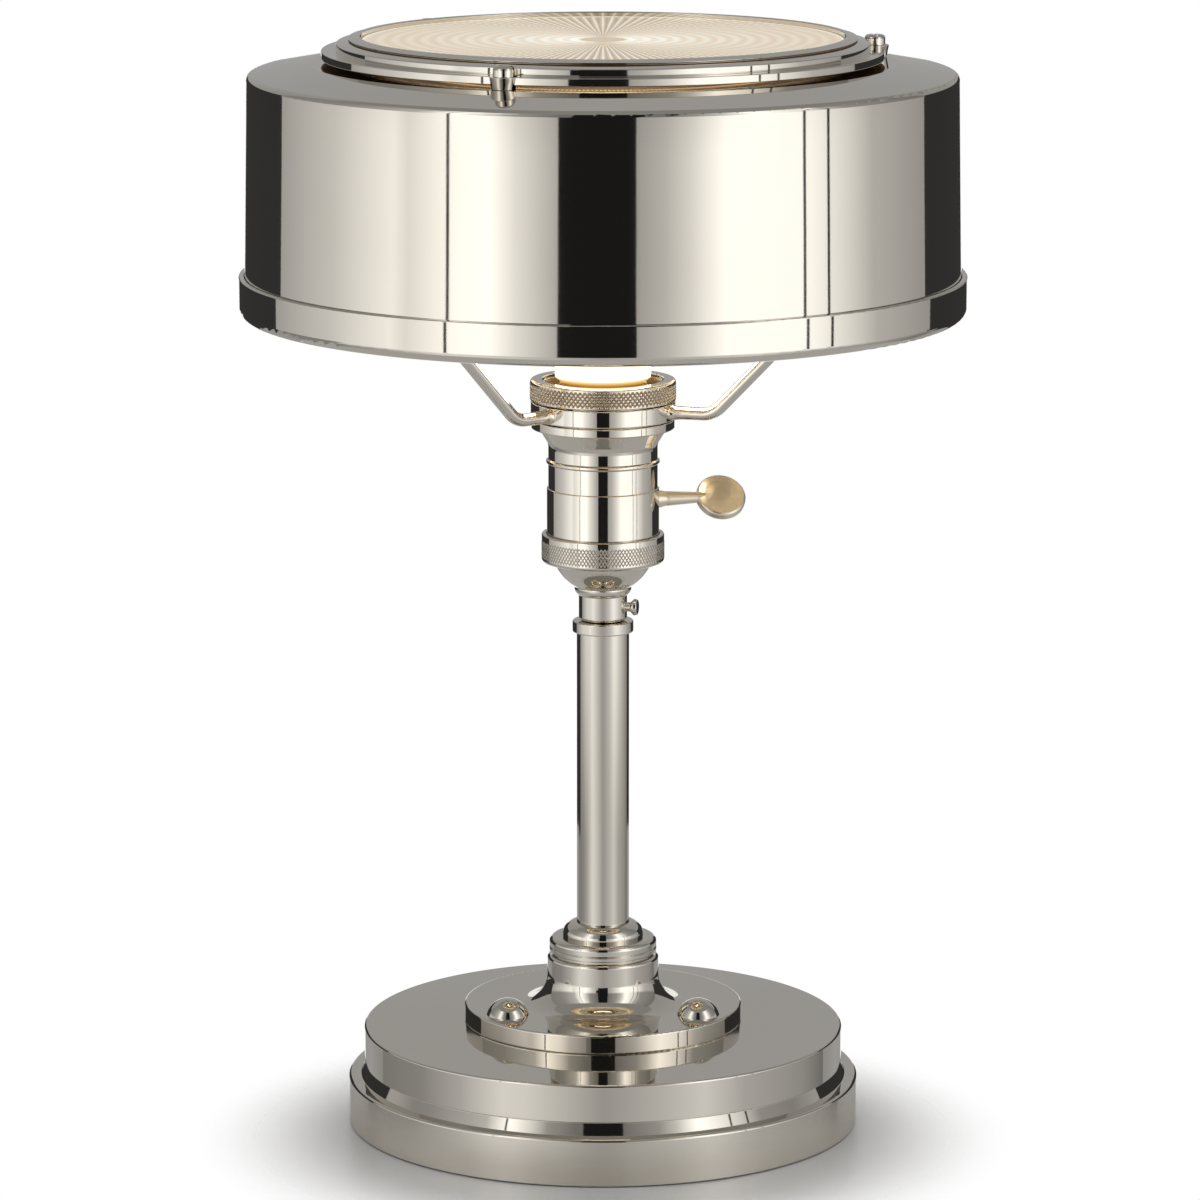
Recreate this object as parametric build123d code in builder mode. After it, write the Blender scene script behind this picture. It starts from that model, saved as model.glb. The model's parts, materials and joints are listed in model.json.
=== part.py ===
"""Table lamp: a weighted round base, a short stem, a turn-key socket and a drum shade under a lens.

Millimetres, +Z up. The origin is on the lamp's axis, on the surface that the lamp stands on.
Azimuths are degrees about +Z from +X, and someone in front of the lamp looks along +Y.
"""

import os
from math import asin, cos, degrees, radians, sin, sqrt

from build123d import *

# Clearances between pieces
seat_gap = 0.05  # pieces that are brazed, glued, pressed or screwed together
running_gap = 0.06  # radial room of a piece that turns on another
face_gap = 0.3  # height between rings that turn over each other
slip_gap = 0.2  # loose fits that are trapped endways

# Base: a hollow casting in two tiers, with a cove between them
base_radius = 77.5
base_wall = 2.5
lower_tier_height = 14.2
lower_tier_round = 0.9
ledge_width = 4.8  # how far the upper tier stands back
cove_height = 3.7
cove_radius = 3.4
cove_inset = 0.6  # how far the cove runs in under the upper tier
cove_edge_round = 0.3
upper_tier_height = 11.4
upper_tier_round = 0.7
base_top_rise = 1.0  # the top is a flat cone up to the flange
pad_thickness = 2.0
pad_proud = 0.4  # the pad holds the metal rim clear of the table
rim_lip = 1.0  # metal left outside the pad
weight_room = 1.0
pipe_foot_room = 2.2  # from the pad up to the end of the threaded pipe

# Cord bushing, at the back of the lower tier
bushing_azimuth = 90.0
bushing_bore = 3.5
bushing_radius = 5.0
bushing_flange_radius = 5.9
bushing_flange_thickness = 1.4
bushing_inside = 2.0  # sleeve length past the casting's wall

# Flange and its boss, screwed down on the base
flange_margin = 8.9  # outside the circle of its screws
flange_thickness = 5.7
flange_round = 0.6
flange_foot_round = 0.5
boss_ledge = 0.6  # the boss stands out past the ring on top of it
boss_taper = 0.2
boss_height = 15.0
boss_flare = 8.5
boss_round = 1.2
tube_seat_depth = 10.0  # how deep the stem tube sits in the boss
flange_screw_count = 3
flange_screw_azimuth = 90.0
flange_screw_offset = 16.1  # from the foot of the boss to the screws' circle
flange_screw_head_radius = 6.4
flange_screw_head_height = 5.0
flange_screw_shank = 2.4
flange_screw_grip = 3.0  # thread length in the base

# Rings where the stem leaves the boss
collar_ledge = 4.1  # the ring stands out past the dome
collar_height = 5.5
collar_round = 1.6
collar_groove_depth = 0.8
collar_groove_height = 0.8
dome_width = 4.26
dome_height = 4.6
dome_round = 4.1

# Stem tube, the threaded pipe inside it, and the ferrule on top
tube_radius = 7.94
tube_wall = 1.0
tube_showing = 89.7
pipe_wall = 1.6
pipe_in_cap = 8.5
pipe_past_nut = 1.0
washer_width = 9.0
washer_thickness = 2.0
nut_wall = 3.0
nut_height = 4.0
ferrule_overhang = 1.28
ferrule_height = 3.5
ferrule_round = 0.4
ferrule_spigot = 6.0
ferrule_spigot_wall = 1.84

# Socket cap: neck, shoulder, bowl and knurled band
neck_wall = 2.25
neck_height = 7.8
neck_round = 1.2
shoulder_step = 1.3
shoulder_height = 2.5
shoulder_bulge = 0.4
bowl_height = 7.7
bowl_bulge = 0.8
cap_wall = 1.2
band_wall = 1.37
band_overhang = 3.6  # past the top of the bowl
band_height = 8.7
band_round = 1.1
set_screw_azimuth = -12.0
set_screw_height = 4.2  # above the foot of the neck
set_screw_shank = 1.4
set_screw_head_radius = 2.55
set_screw_head_thickness = 2.3
set_screw_head_round = 0.8
set_screw_standoff = 1.1  # shank that shows between the neck and the head

# Socket shell
shell_wall = 0.8
shell_step = 0.43
shell_step_round = 0.3
shell_lower_showing = 13.9
shell_upper_height = 13.2
shell_bead_height = 8.1  # above the step between the two radii
shell_bead_width = 1.6
shell_bead_flat = 0.8
shell_bead_proud = 0.6
shell_bead_round = 0.32
flare_inset = 1.95  # inside the edge of the shoulder ring
flare_height = 4.9
flare_round = 4.0
shoulder_ring_width = 3.55
shoulder_ring_height = 2.7
ring_round = 0.35
spigot_step = 0.5
spigot_wall = 1.0
spigot_height = 10.8

# Inside the socket
body_roof = 5.0  # over the switch chamber
sleeve_room = 1.55  # round the screw shell
sleeve_wall = 0.5
sleeve_drop = 1.6  # below the foot of the flare
screw_shell_bore = 13.15
screw_shell_wall = 0.45
screw_shell_height = 23.5
screw_shell_lip = 4.0  # width of the ring that it stands on
contact_width = 5.0
contact_length = 10.0
contact_thickness = 0.6
contact_leg_width = 2.0
terminal_flat_depth = 2.95
terminal_height = 7.0  # of the screws, above the body's foot
terminal_flat_height = 10.0
terminal_head_radius = 3.2
terminal_head_thickness = 1.6
terminal_shank = 1.5
terminal_grip = 2.5

# Switch key
key_azimuth = 12.0
key_height = 17.1  # above the body's foot
key_shaft_radius = 2.2
key_tip_radius = 1.65
key_straight = 3.07  # outside the shell
key_taper_length = 8.8
key_past_cam = 1.0
key_slot_room = 1.0
paddle_radius = 7.5
paddle_thickness = 4.0
paddle_round = 0.9
paddle_tilt = 45.0
cam_side = 7.0
cam_length = 7.0
chamber_room = 1.55  # round the cam as it turns

# Shade carrier: lock ring, fitter ring and arms
fitter_width = 3.69
fitter_height = 5.15
lock_ring_width = 3.84
lock_ring_height = 6.3
arm_count = 3
arm_azimuth = 102.0
arm_rod_radius = 1.95
arm_level = 12.65  # from the fitter ring to the bend
arm_bend = 8.0
foot_drop = 27.0  # from the drum's top edge down to the middle of an arm's foot
foot_height = 11.0
foot_width = 9.0
foot_thickness = 1.5

# Shade
rim_above_arms = 28.9  # the rim's lower edge over the arms' level stretch
rim_wall = 1.5
rim_height = 12.1
rim_round = 3.0
rim_edge = 0.4
rim_floor = 2.6  # thickness of the lip that is turned in under the drum
rim_lip_width = 4.0
drum_top_radius = 105.6
drum_taper = 1.25
drum_showing = 59.6
drum_wall = 1.0
drum_round = 1.8
crown_rise = 3.4  # the top is a flat cone up to the lens frame's seat
crown_width = 18.55
light_hole_inset = 4.0  # inside the view of the lens

# Lens frame, standing on three bosses over the shade's top
vent_gap = 1.6
frame_thickness = 2.1
frame_step_width = 3.4
frame_step_height = 2.1
frame_step_rise = 1.0  # slope on top of the step, up to the bezel
bezel_wall = 2.1
bezel_height = 0.5
bezel_slope = 2.6  # width of the slope up to the lip
bezel_lip = 1.2
bezel_depth = 1.1
frame_edge = 0.3
lens_ledge = 0.9
lens_ledge_width = 1.8
lens_edge_thickness = 3.0
lens_crown = 1.1  # the middle of the glass stands up inside the frame
lens_crown_round = 0.4
gasket_thickness = 0.5
retainer_width = 4.0
retainer_thickness = 0.9
frame_boss_count = 3
frame_boss_azimuth = 10.0
frame_boss_radius = 4.25
frame_boss_inset = 1.1  # from the frame's edge to the middle of a boss
frame_seat_margin = 0.5  # flat of the shade's top outside the bosses
lens_screw_head_radius = 3.1
lens_screw_head_height = 3.0
lens_screw_head_round = 1.1
lens_screw_shank = 1.5
lens_screw_slot_width = 0.8
lens_screw_slot_depth = 0.9
lens_nut_flats = 5.5
lens_nut_height = 2.4
lens_screw_past_nut = 0.8

# Bulb
bulb_gap = 0.15  # play of the base in the screw shell
bulb_ball_radius = 30.0
bulb_neck_step = 1.3
bulb_neck_length = 7.0  # straight stretch under the curve
bulb_flare = 30.0  # radius of the curve between neck and ball
bulb_glass_wall = 1.0
bulb_tip_radius = 4.6
bulb_tip_height = 1.5
bulb_tip_round = 0.8
bulb_insulator_inset = 2.0
bulb_insulator_height = 3.1
bulb_base_height = 19.0
bulb_base_wall = 0.6
bulb_neck_in_base = 3.0
mount_radius = 4.0
mount_round = 2.0
mount_height = 38.0
mount_flare_radius = 10.5
mount_flare_height = 4.0
lead_radius = 0.6
lead_spread = 9.0
lead_height = 14.0
filament_rise = 7.0
filament_bend = 1.4

# Radii, worked out from the stem, the bulb's screw shell and the drum
tube_hole = tube_radius + seat_gap
ferrule_spigot_radius = tube_radius - tube_wall - seat_gap
pipe_hole = ferrule_spigot_radius - ferrule_spigot_wall
pipe_radius = pipe_hole - seat_gap
ferrule_radius = tube_radius + ferrule_overhang
dome_radius = tube_radius + dome_width
collar_radius = dome_radius + collar_ledge
boss_top_radius = collar_radius + boss_ledge
boss_foot_radius = boss_top_radius + boss_taper
flange_screw_circle = boss_foot_radius + flange_screw_offset
flange_radius = flange_screw_circle + flange_margin
flange_screw_hole = flange_screw_shank + seat_gap
flare_room = flange_screw_offset - flange_screw_head_radius  # on the flange, inside the screws' heads
upper_tier_radius = base_radius - ledge_width
cove_foot_radius = upper_tier_radius - cove_inset
upper_cavity_radius = cove_foot_radius - base_wall
screw_shell_radius = screw_shell_bore + screw_shell_wall
sleeve_bore = screw_shell_radius + sleeve_room
sleeve_radius = sleeve_bore + sleeve_wall
body_radius = sleeve_bore - slip_gap
shell_upper_bore = sleeve_radius + seat_gap
shell_upper_radius = shell_upper_bore + shell_wall
shell_lower_radius = shell_upper_radius + shell_step
shell_lower_bore = shell_lower_radius - shell_wall
band_bore = shell_lower_radius + slip_gap
band_radius = band_bore + band_wall
bowl_top_radius = band_radius - band_overhang
neck_radius = pipe_hole + neck_wall
shoulder_radius = neck_radius + shoulder_step
spigot_bore = shell_upper_radius + spigot_step
spigot_radius = spigot_bore + spigot_wall
shoulder_ring_radius = spigot_radius + shoulder_ring_width
flare_radius = shoulder_ring_radius - flare_inset
carrier_bore = spigot_radius + running_gap
fitter_radius = carrier_bore + fitter_width
lock_ring_radius = carrier_bore + lock_ring_width
arm_reach = fitter_radius + arm_level
chamber_radius = cam_side * sqrt(2) / 2 + chamber_room
chamber_length = cam_length + 2 * chamber_room
key_taper_start = shell_lower_radius + key_straight
paddle_centre = key_taper_start + key_taper_length + paddle_radius
key_slot_width = 2 * (key_shaft_radius + key_slot_room)
terminal_flat = body_radius - terminal_flat_depth
drum_bottom_radius = drum_top_radius + drum_taper
rim_bore = drum_bottom_radius + seat_gap
rim_radius = rim_bore + rim_wall
crown_seat_radius = drum_top_radius - crown_width
frame_boss_circle = crown_seat_radius - frame_seat_margin - frame_boss_radius
frame_radius = frame_boss_circle + frame_boss_inset
frame_step_radius = frame_boss_circle - lens_screw_head_radius - slip_gap
bezel_radius = frame_step_radius - frame_step_width
bezel_lip_radius = bezel_radius - bezel_slope
bezel_bore = bezel_lip_radius - bezel_lip
lens_view_radius = bezel_bore - lens_ledge_width
lens_seat_radius = bezel_radius - bezel_wall
lens_radius = lens_seat_radius - slip_gap
light_hole_radius = lens_view_radius - light_hole_inset
lens_screw_hole = lens_screw_shank + seat_gap
bulb_base_radius = screw_shell_bore - bulb_gap
bulb_base_bore = bulb_base_radius - bulb_base_wall
bulb_insulator_radius = bulb_base_radius - bulb_insulator_inset
bulb_neck_radius = bulb_base_radius + bulb_neck_step
glass_foot_radius = bulb_base_bore - seat_gap

# Heights, stacked up from the table
z_rim_edge = pad_proud
z_ledge = z_rim_edge + lower_tier_height
z_cove = z_ledge + cove_height
z_base_edge = z_cove + upper_tier_height
z_flange = z_base_edge + base_top_rise
z_flange_top = z_flange + flange_thickness
z_boss_top = z_flange_top + boss_height
z_tube = z_boss_top - tube_seat_depth
z_collar_top = z_boss_top + collar_height
z_dome_top = z_collar_top + dome_height
z_ferrule = z_dome_top + tube_showing
z_cap = z_ferrule + ferrule_height
z_neck_top = z_cap + neck_height
z_bowl = z_neck_top + shoulder_height
z_band = z_bowl + bowl_height
z_band_top = z_band + band_height
z_shell_step = z_band_top + shell_lower_showing
z_flare = z_shell_step + shell_upper_height
z_shoulder_ring = z_flare + flare_height
z_fitter_seat = z_shoulder_ring + shoulder_ring_height
z_spigot_top = z_fitter_seat + spigot_height
z_fitter = z_fitter_seat + face_gap
z_arm = z_fitter + fitter_height / 2
z_lock_ring = z_fitter + fitter_height + face_gap

# Heights inside the base
z_bushing = pad_thickness + slip_gap + bushing_radius
z_pipe = pad_thickness + pipe_foot_room
z_nut = z_pipe + pipe_past_nut
z_washer = z_nut + nut_height
z_weight = z_washer + washer_thickness
z_weight_top = z_base_edge - base_wall

# Heights inside the socket, and of the bulb that it holds
z_socket_floor = z_band + cap_wall
z_terminal = z_socket_floor + terminal_height
z_key = z_socket_floor + key_height
z_body_top = z_key + chamber_radius + body_roof
z_bulb = z_body_top + contact_thickness + face_gap
z_insulator = z_bulb + bulb_tip_height
z_bulb_base = z_insulator + bulb_insulator_height
z_bulb_neck = z_bulb_base + bulb_base_height
z_glass_foot = z_bulb_neck - bulb_neck_in_base
z_glass_neck = z_bulb_neck + bulb_neck_radius - glass_foot_radius

# Heights of the shade
z_shade_rim = z_arm + rim_above_arms
z_drum = z_shade_rim + rim_floor
z_drum_top = z_shade_rim + rim_height + drum_showing
z_foot = z_drum_top - foot_drop
z_crown = z_drum_top + crown_rise
z_frame = z_crown + vent_gap
z_frame_top = z_frame + frame_thickness
z_bezel_step = z_frame_top + frame_step_height
z_bezel_foot = z_bezel_step + frame_step_rise
z_bezel_top = z_bezel_foot + bezel_height
z_lens = z_frame + retainer_thickness
z_lens_top = z_lens + lens_edge_thickness
z_lens_ledge = z_lens_top + gasket_thickness
z_bezel_ledge = z_lens_ledge + lens_ledge
z_lip = z_bezel_ledge + bezel_depth


def upright(azimuth, reach=0.0, height=0.0):
    """Plane that holds the lamp's axis: local x runs outwards at this azimuth and local y runs up."""
    turn_angle = radians(azimuth)
    outwards = (cos(turn_angle), sin(turn_angle), 0)
    sideways = (sin(turn_angle), -cos(turn_angle), 0)
    return Plane(origin=(reach * outwards[0], reach * outwards[1], height), x_dir=outwards, z_dir=sideways)


def facing(azimuth, reach, height):
    """Plane across a radius, at this distance from the axis: local z points outwards and local y up."""
    turn_angle = radians(azimuth)
    outwards = (cos(turn_angle), sin(turn_angle), 0)
    leftwards = (-sin(turn_angle), cos(turn_angle), 0)
    return Plane(origin=(reach * outwards[0], reach * outwards[1], height), x_dir=leftwards, z_dir=outwards)


def around(count, first_azimuth):
    """Azimuths of so many equal steps round the axis."""
    return [first_azimuth + step * 360 / count for step in range(count)]


def rounding(radius, *walls):
    """A corner radius that the walls beside it leave room for."""
    return min(radius, *[0.9 * wall for wall in walls])


def turn(corners, plane=Plane.XZ, axis=Axis.Z, mode=Mode.ADD):
    """Revolve a closed outline, about the lamp's axis if no other is given; a corner is (x, y, rounding)."""
    points = [corner[:2] for corner in corners]
    roundings = [corner[2] for corner in corners]
    with BuildSketch(plane) as outline:
        with BuildLine():
            FilletPolyline(*points, radius=roundings, close=True)
        make_face()
    revolve(outline.sketch, axis=axis, mode=mode)


def ring(inner_radius, outer_radius, foot, height, edge=0.0):
    """Plain ring about the lamp's axis, with both outer edges rounded."""
    edge = rounding(edge, height / 2)
    turn(
        [
            (inner_radius, foot, 0),
            (outer_radius, foot, edge),
            (outer_radius, foot + height, edge),
            (inner_radius, foot + height, 0),
        ]
    )


def post(circle, azimuth, radius, foot, height, mode=Mode.ADD):
    """Upright cylinder at a distance from the axis."""
    with BuildSketch(Plane.XY.offset(foot)) as section:
        with Locations((circle * cos(radians(azimuth)), circle * sin(radians(azimuth)))):
            Circle(radius)
    extrude(section.sketch, amount=height, mode=mode)


def drum_bore(height):
    """Inner radius of the tapered drum at a height."""
    share = (height - z_drum) / (z_drum_top - z_drum)
    return drum_bottom_radius + share * (drum_top_radius - drum_bottom_radius) - drum_wall


def key_slot():
    """Cut a slot for the key's shaft, from the socket's floor up to a round end about the shaft."""
    with BuildSketch(facing(key_azimuth, 0, z_key)) as slot:
        Circle(key_slot_width / 2)
        with Locations((0, -key_height / 2)):
            Rectangle(key_slot_width, key_height)
    extrude(slot.sketch, amount=paddle_centre, mode=Mode.SUBTRACT)


# Base casting
bushing_start = base_radius - base_wall - bushing_inside
bushing_length = bushing_inside + base_wall + bushing_flange_thickness
with BuildPart() as base_shell:
    cove_room = base_radius - cove_foot_radius - lower_tier_round
    turn(
        [
            (pipe_hole, z_weight_top, 0),
            (pipe_hole, z_flange, 0),
            (flange_radius, z_flange, 0),
            (upper_tier_radius, z_base_edge, upper_tier_round),
            (upper_tier_radius, z_cove, rounding(cove_edge_round, cove_inset)),
            (cove_foot_radius, z_cove, 0),
            (cove_foot_radius, z_ledge, rounding(cove_radius, cove_height, cove_room)),
            (base_radius, z_ledge, lower_tier_round),
            (base_radius, z_rim_edge, 0),
            (base_radius - rim_lip, z_rim_edge, 0),
            (base_radius - rim_lip, pad_thickness, 0),
            (base_radius - base_wall, pad_thickness, 0),
            (base_radius - base_wall, z_ledge - base_wall, 0),
            (upper_cavity_radius, z_ledge - base_wall, 0),
            (upper_cavity_radius, z_weight_top, 0),
        ]
    )
    for azimuth in around(flange_screw_count, flange_screw_azimuth):
        roof = base_wall + base_top_rise
        post(flange_screw_circle, azimuth, flange_screw_hole, z_weight_top, roof, Mode.SUBTRACT)
    with BuildSketch(facing(bushing_azimuth, bushing_start, z_bushing)):
        Circle(bushing_radius + seat_gap)
    extrude(amount=bushing_length, mode=Mode.SUBTRACT)

with BuildPart() as base_weight:
    ring(pipe_radius + weight_room, upper_cavity_radius - weight_room, z_weight, z_weight_top - z_weight)

with BuildPart() as base_pad:
    with BuildSketch():
        Circle(base_radius - rim_lip - slip_gap)
    extrude(amount=pad_thickness)

# Cord bushing: its flange fits the round of the base, and its sleeve goes through the wall
with BuildPart() as cord_bushing:
    sleeve_plane = facing(bushing_azimuth, bushing_start, z_bushing)
    with BuildSketch(sleeve_plane):
        Circle(bushing_flange_radius)
    extrude(amount=bushing_length)
    with BuildSketch():
        Circle(base_radius + seat_gap)
    extrude(amount=z_base_edge, mode=Mode.SUBTRACT)
    with BuildSketch(sleeve_plane):
        Circle(bushing_radius)
    extrude(amount=bushing_length)
    with BuildSketch(sleeve_plane):
        Circle(bushing_bore)
    extrude(amount=bushing_length, mode=Mode.SUBTRACT)

# Flange with its boss
with BuildPart() as stem_flange:
    turn(
        [
            (pipe_hole, z_flange, 0),
            (flange_radius, z_flange, flange_foot_round),
            (flange_radius, z_flange_top, flange_round),
            (boss_foot_radius, z_flange_top, rounding(boss_flare, boss_height - boss_round, flare_room)),
            (boss_top_radius, z_boss_top, boss_round),
            (tube_hole, z_boss_top, 0),
            (tube_hole, z_tube, 0),
            (pipe_hole, z_tube, 0),
        ]
    )
    for azimuth in around(flange_screw_count, flange_screw_azimuth):
        post(flange_screw_circle, azimuth, flange_screw_hole, z_flange, flange_thickness, Mode.SUBTRACT)

with BuildPart() as flange_screws:
    cap_height = flange_screw_head_height
    cap_ball = (flange_screw_head_radius**2 / cap_height + cap_height) / 2
    shank_length = flange_thickness + flange_screw_grip
    for azimuth in around(flange_screw_count, flange_screw_azimuth):
        screw_plane = upright(azimuth, flange_screw_circle, z_flange_top)
        with BuildSketch(screw_plane) as half_dome:
            with BuildLine():
                Polyline((0, cap_height), (0, 0), (flange_screw_head_radius, 0))
                RadiusArc((flange_screw_head_radius, 0), (0, cap_height), -cap_ball)
            make_face()
        revolve(half_dome.sketch, axis=Axis(screw_plane.origin, (0, 0, 1)))
        post(flange_screw_circle, azimuth, flange_screw_shank, z_flange_top - shank_length, shank_length)

# Rings round the foot of the stem
with BuildPart() as collar_ring:
    groove_radius = collar_radius - collar_groove_depth
    turn(
        [
            (tube_hole, z_boss_top, 0),
            (groove_radius, z_boss_top, 0),
            (groove_radius, z_boss_top + collar_groove_height, 0),
            (collar_radius, z_boss_top + collar_groove_height, 0),
            (collar_radius, z_collar_top, rounding(collar_round, collar_height - collar_groove_height)),
            (tube_hole, z_collar_top, 0),
        ]
    )

with BuildPart() as dome_collar:
    turn(
        [
            (tube_hole, z_collar_top, 0),
            (dome_radius, z_collar_top, 0),
            (dome_radius, z_dome_top, rounding(dome_round, dome_height, dome_radius - tube_hole)),
            (tube_hole, z_dome_top, 0),
        ]
    )

# Stem
with BuildPart() as stem_tube:
    ring(tube_radius - tube_wall, tube_radius, z_tube, z_ferrule - z_tube)

with BuildPart() as threaded_pipe:
    ring(pipe_radius - pipe_wall, pipe_radius, z_pipe, z_cap + pipe_in_cap - z_pipe)

with BuildPart() as pipe_washer:
    ring(pipe_hole, pipe_hole + washer_width, z_washer, washer_thickness)

with BuildPart() as pipe_nut:
    with BuildSketch(Plane.XY.offset(z_nut)):
        RegularPolygon(pipe_hole + nut_wall, 6, major_radius=False)
        Circle(pipe_hole, mode=Mode.SUBTRACT)
    extrude(amount=nut_height)

with BuildPart() as stem_ferrule:
    turn(
        [
            (pipe_hole, z_ferrule - ferrule_spigot, 0),
            (ferrule_spigot_radius, z_ferrule - ferrule_spigot, 0),
            (ferrule_spigot_radius, z_ferrule, 0),
            (ferrule_radius, z_ferrule, ferrule_round),
            (ferrule_radius, z_cap, ferrule_round),
            (pipe_hole, z_cap, 0),
        ]
    )

# Socket cap
with BuildPart() as socket_cap:
    with BuildSketch(Plane.XZ):
        with BuildLine():
            neck_corner = (neck_radius - neck_round, z_cap)
            Line((pipe_hole, z_cap), neck_corner)
            RadiusArc(neck_corner, (neck_radius, z_cap + neck_round), -neck_round)
            Line((neck_radius, z_cap + neck_round), (neck_radius, z_neck_top))
            shoulder_start = (neck_radius + seat_gap, z_neck_top)
            Line((neck_radius, z_neck_top), shoulder_start)
            SagittaArc(shoulder_start, (shoulder_radius, z_bowl), -shoulder_bulge)
            SagittaArc((shoulder_radius, z_bowl), (bowl_top_radius, z_band), -bowl_bulge)
            band_corner = (band_radius - band_round, z_band)
            Line((bowl_top_radius, z_band), band_corner)
            RadiusArc(band_corner, (band_radius, z_band + band_round), -band_round)
            Polyline(
                (band_radius, z_band + band_round),
                (band_radius, z_band_top),
                (band_bore, z_band_top),
                (band_bore, z_socket_floor),
                (bowl_top_radius - cap_wall, z_socket_floor),
                (shoulder_radius - cap_wall, z_bowl + cap_wall),
                (pipe_hole, z_bowl + cap_wall),
                (pipe_hole, z_cap),
            )
        make_face()
    revolve(axis=Axis.Z)
    with BuildSketch(facing(set_screw_azimuth, 0, z_cap + set_screw_height)):
        Circle(set_screw_shank + seat_gap)
    extrude(amount=2 * neck_radius, mode=Mode.SUBTRACT)

with BuildPart() as cap_set_screw:
    screw_plane = upright(set_screw_azimuth, 0, z_cap + set_screw_height)
    head_start = neck_radius + set_screw_standoff
    head_end = head_start + set_screw_head_thickness
    head_round = rounding(set_screw_head_round, set_screw_head_thickness / 2)
    turn(
        [
            (pipe_hole, 0, 0),
            (pipe_hole, set_screw_shank, 0),
            (head_start, set_screw_shank, 0),
            (head_start, set_screw_head_radius, head_round),
            (head_end, set_screw_head_radius, head_round),
            (head_end, 0, 0),
        ],
        screw_plane,
        Axis(screw_plane.origin, screw_plane.x_dir),
    )

# Socket shell, its insulating sleeve, and the works inside
with BuildPart() as socket_shell:
    bead_middle = z_shell_step + shell_bead_height
    bead_top_radius = shell_upper_radius + shell_bead_proud
    turn(
        [
            (shell_lower_bore, z_socket_floor, 0),
            (shell_lower_radius, z_socket_floor, 0),
            (shell_lower_radius, z_shell_step, rounding(shell_step_round, shell_step)),
            (shell_upper_radius, z_shell_step, 0),
            (shell_upper_radius, bead_middle - shell_bead_width / 2, 0),
            (bead_top_radius, bead_middle - shell_bead_flat / 2, shell_bead_round),
            (bead_top_radius, bead_middle + shell_bead_flat / 2, shell_bead_round),
            (shell_upper_radius, bead_middle + shell_bead_width / 2, 0),
            (shell_upper_radius, z_flare, flare_round),
            (flare_radius, z_shoulder_ring, 0),
            (shoulder_ring_radius, z_shoulder_ring, ring_round),
            (shoulder_ring_radius, z_fitter_seat, ring_round),
            (spigot_radius, z_fitter_seat, 0),
            (spigot_radius, z_spigot_top, ring_round),
            (spigot_bore, z_spigot_top, 0),
            (spigot_bore, z_shoulder_ring, 0),
            (shell_upper_bore, z_flare, 0),
            (shell_upper_bore, z_shell_step - shell_wall, 0),
            (shell_lower_bore, z_shell_step - shell_wall, 0),
        ]
    )
    key_slot()

with BuildPart() as insulating_sleeve:
    ring(sleeve_bore, sleeve_radius, z_socket_floor, z_flare - sleeve_drop - z_socket_floor)
    key_slot()

with BuildPart() as socket_body:
    with BuildSketch(Plane.XY.offset(z_socket_floor)):
        Circle(body_radius)
    extrude(amount=z_body_top - z_socket_floor)
    with BuildSketch(facing(key_azimuth, -chamber_length / 2, z_key)):
        Circle(chamber_radius)
        with Locations((0, -key_height / 2)):
            Rectangle(2 * chamber_radius, key_height)
    extrude(amount=chamber_length, mode=Mode.SUBTRACT)
    with BuildSketch(facing(key_azimuth, 0, z_key)):
        Circle(key_shaft_radius + running_gap)
    extrude(amount=2 * body_radius, mode=Mode.SUBTRACT)
    with BuildSketch(Plane.XY.offset(z_key)):
        Rectangle(contact_leg_width + 2 * seat_gap, contact_thickness + 2 * seat_gap, rotation=key_azimuth)
    extrude(amount=z_body_top - z_key, mode=Mode.SUBTRACT)
    for side in (90, -90):
        with BuildSketch(facing(key_azimuth + side, terminal_flat, z_terminal)):
            Rectangle(2 * body_radius, terminal_flat_height)
        extrude(amount=body_radius, mode=Mode.SUBTRACT)
        with BuildSketch(facing(key_azimuth + side, terminal_flat - terminal_grip, z_terminal)):
            Circle(terminal_shank + seat_gap)
        extrude(amount=body_radius, mode=Mode.SUBTRACT)

with BuildPart() as terminal_screws:
    for side in (90, -90):
        with BuildSketch(facing(key_azimuth + side, terminal_flat, z_terminal)):
            Circle(terminal_head_radius)
        extrude(amount=terminal_head_thickness)
        with BuildSketch(facing(key_azimuth + side, terminal_flat - terminal_grip, z_terminal)):
            Circle(terminal_shank)
        extrude(amount=terminal_grip)

with BuildPart() as screw_shell:
    lip_bore = screw_shell_bore - screw_shell_lip
    turn(
        [
            (lip_bore, z_body_top, 0),
            (screw_shell_radius, z_body_top, 0),
            (screw_shell_radius, z_body_top + screw_shell_height, 0),
            (screw_shell_bore, z_body_top + screw_shell_height, 0),
            (screw_shell_bore, z_body_top + screw_shell_wall, 0),
            (lip_bore, z_body_top + screw_shell_wall, 0),
        ]
    )

with BuildPart() as centre_contact:
    with BuildSketch(Plane.XY.offset(z_body_top)):
        Rectangle(contact_length, contact_width, rotation=key_azimuth)
    extrude(amount=contact_thickness)
    with BuildSketch(Plane.XY.offset(z_body_top)):
        Rectangle(contact_leg_width, contact_thickness, rotation=key_azimuth)
    extrude(amount=z_key + chamber_radius - z_body_top)

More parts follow.
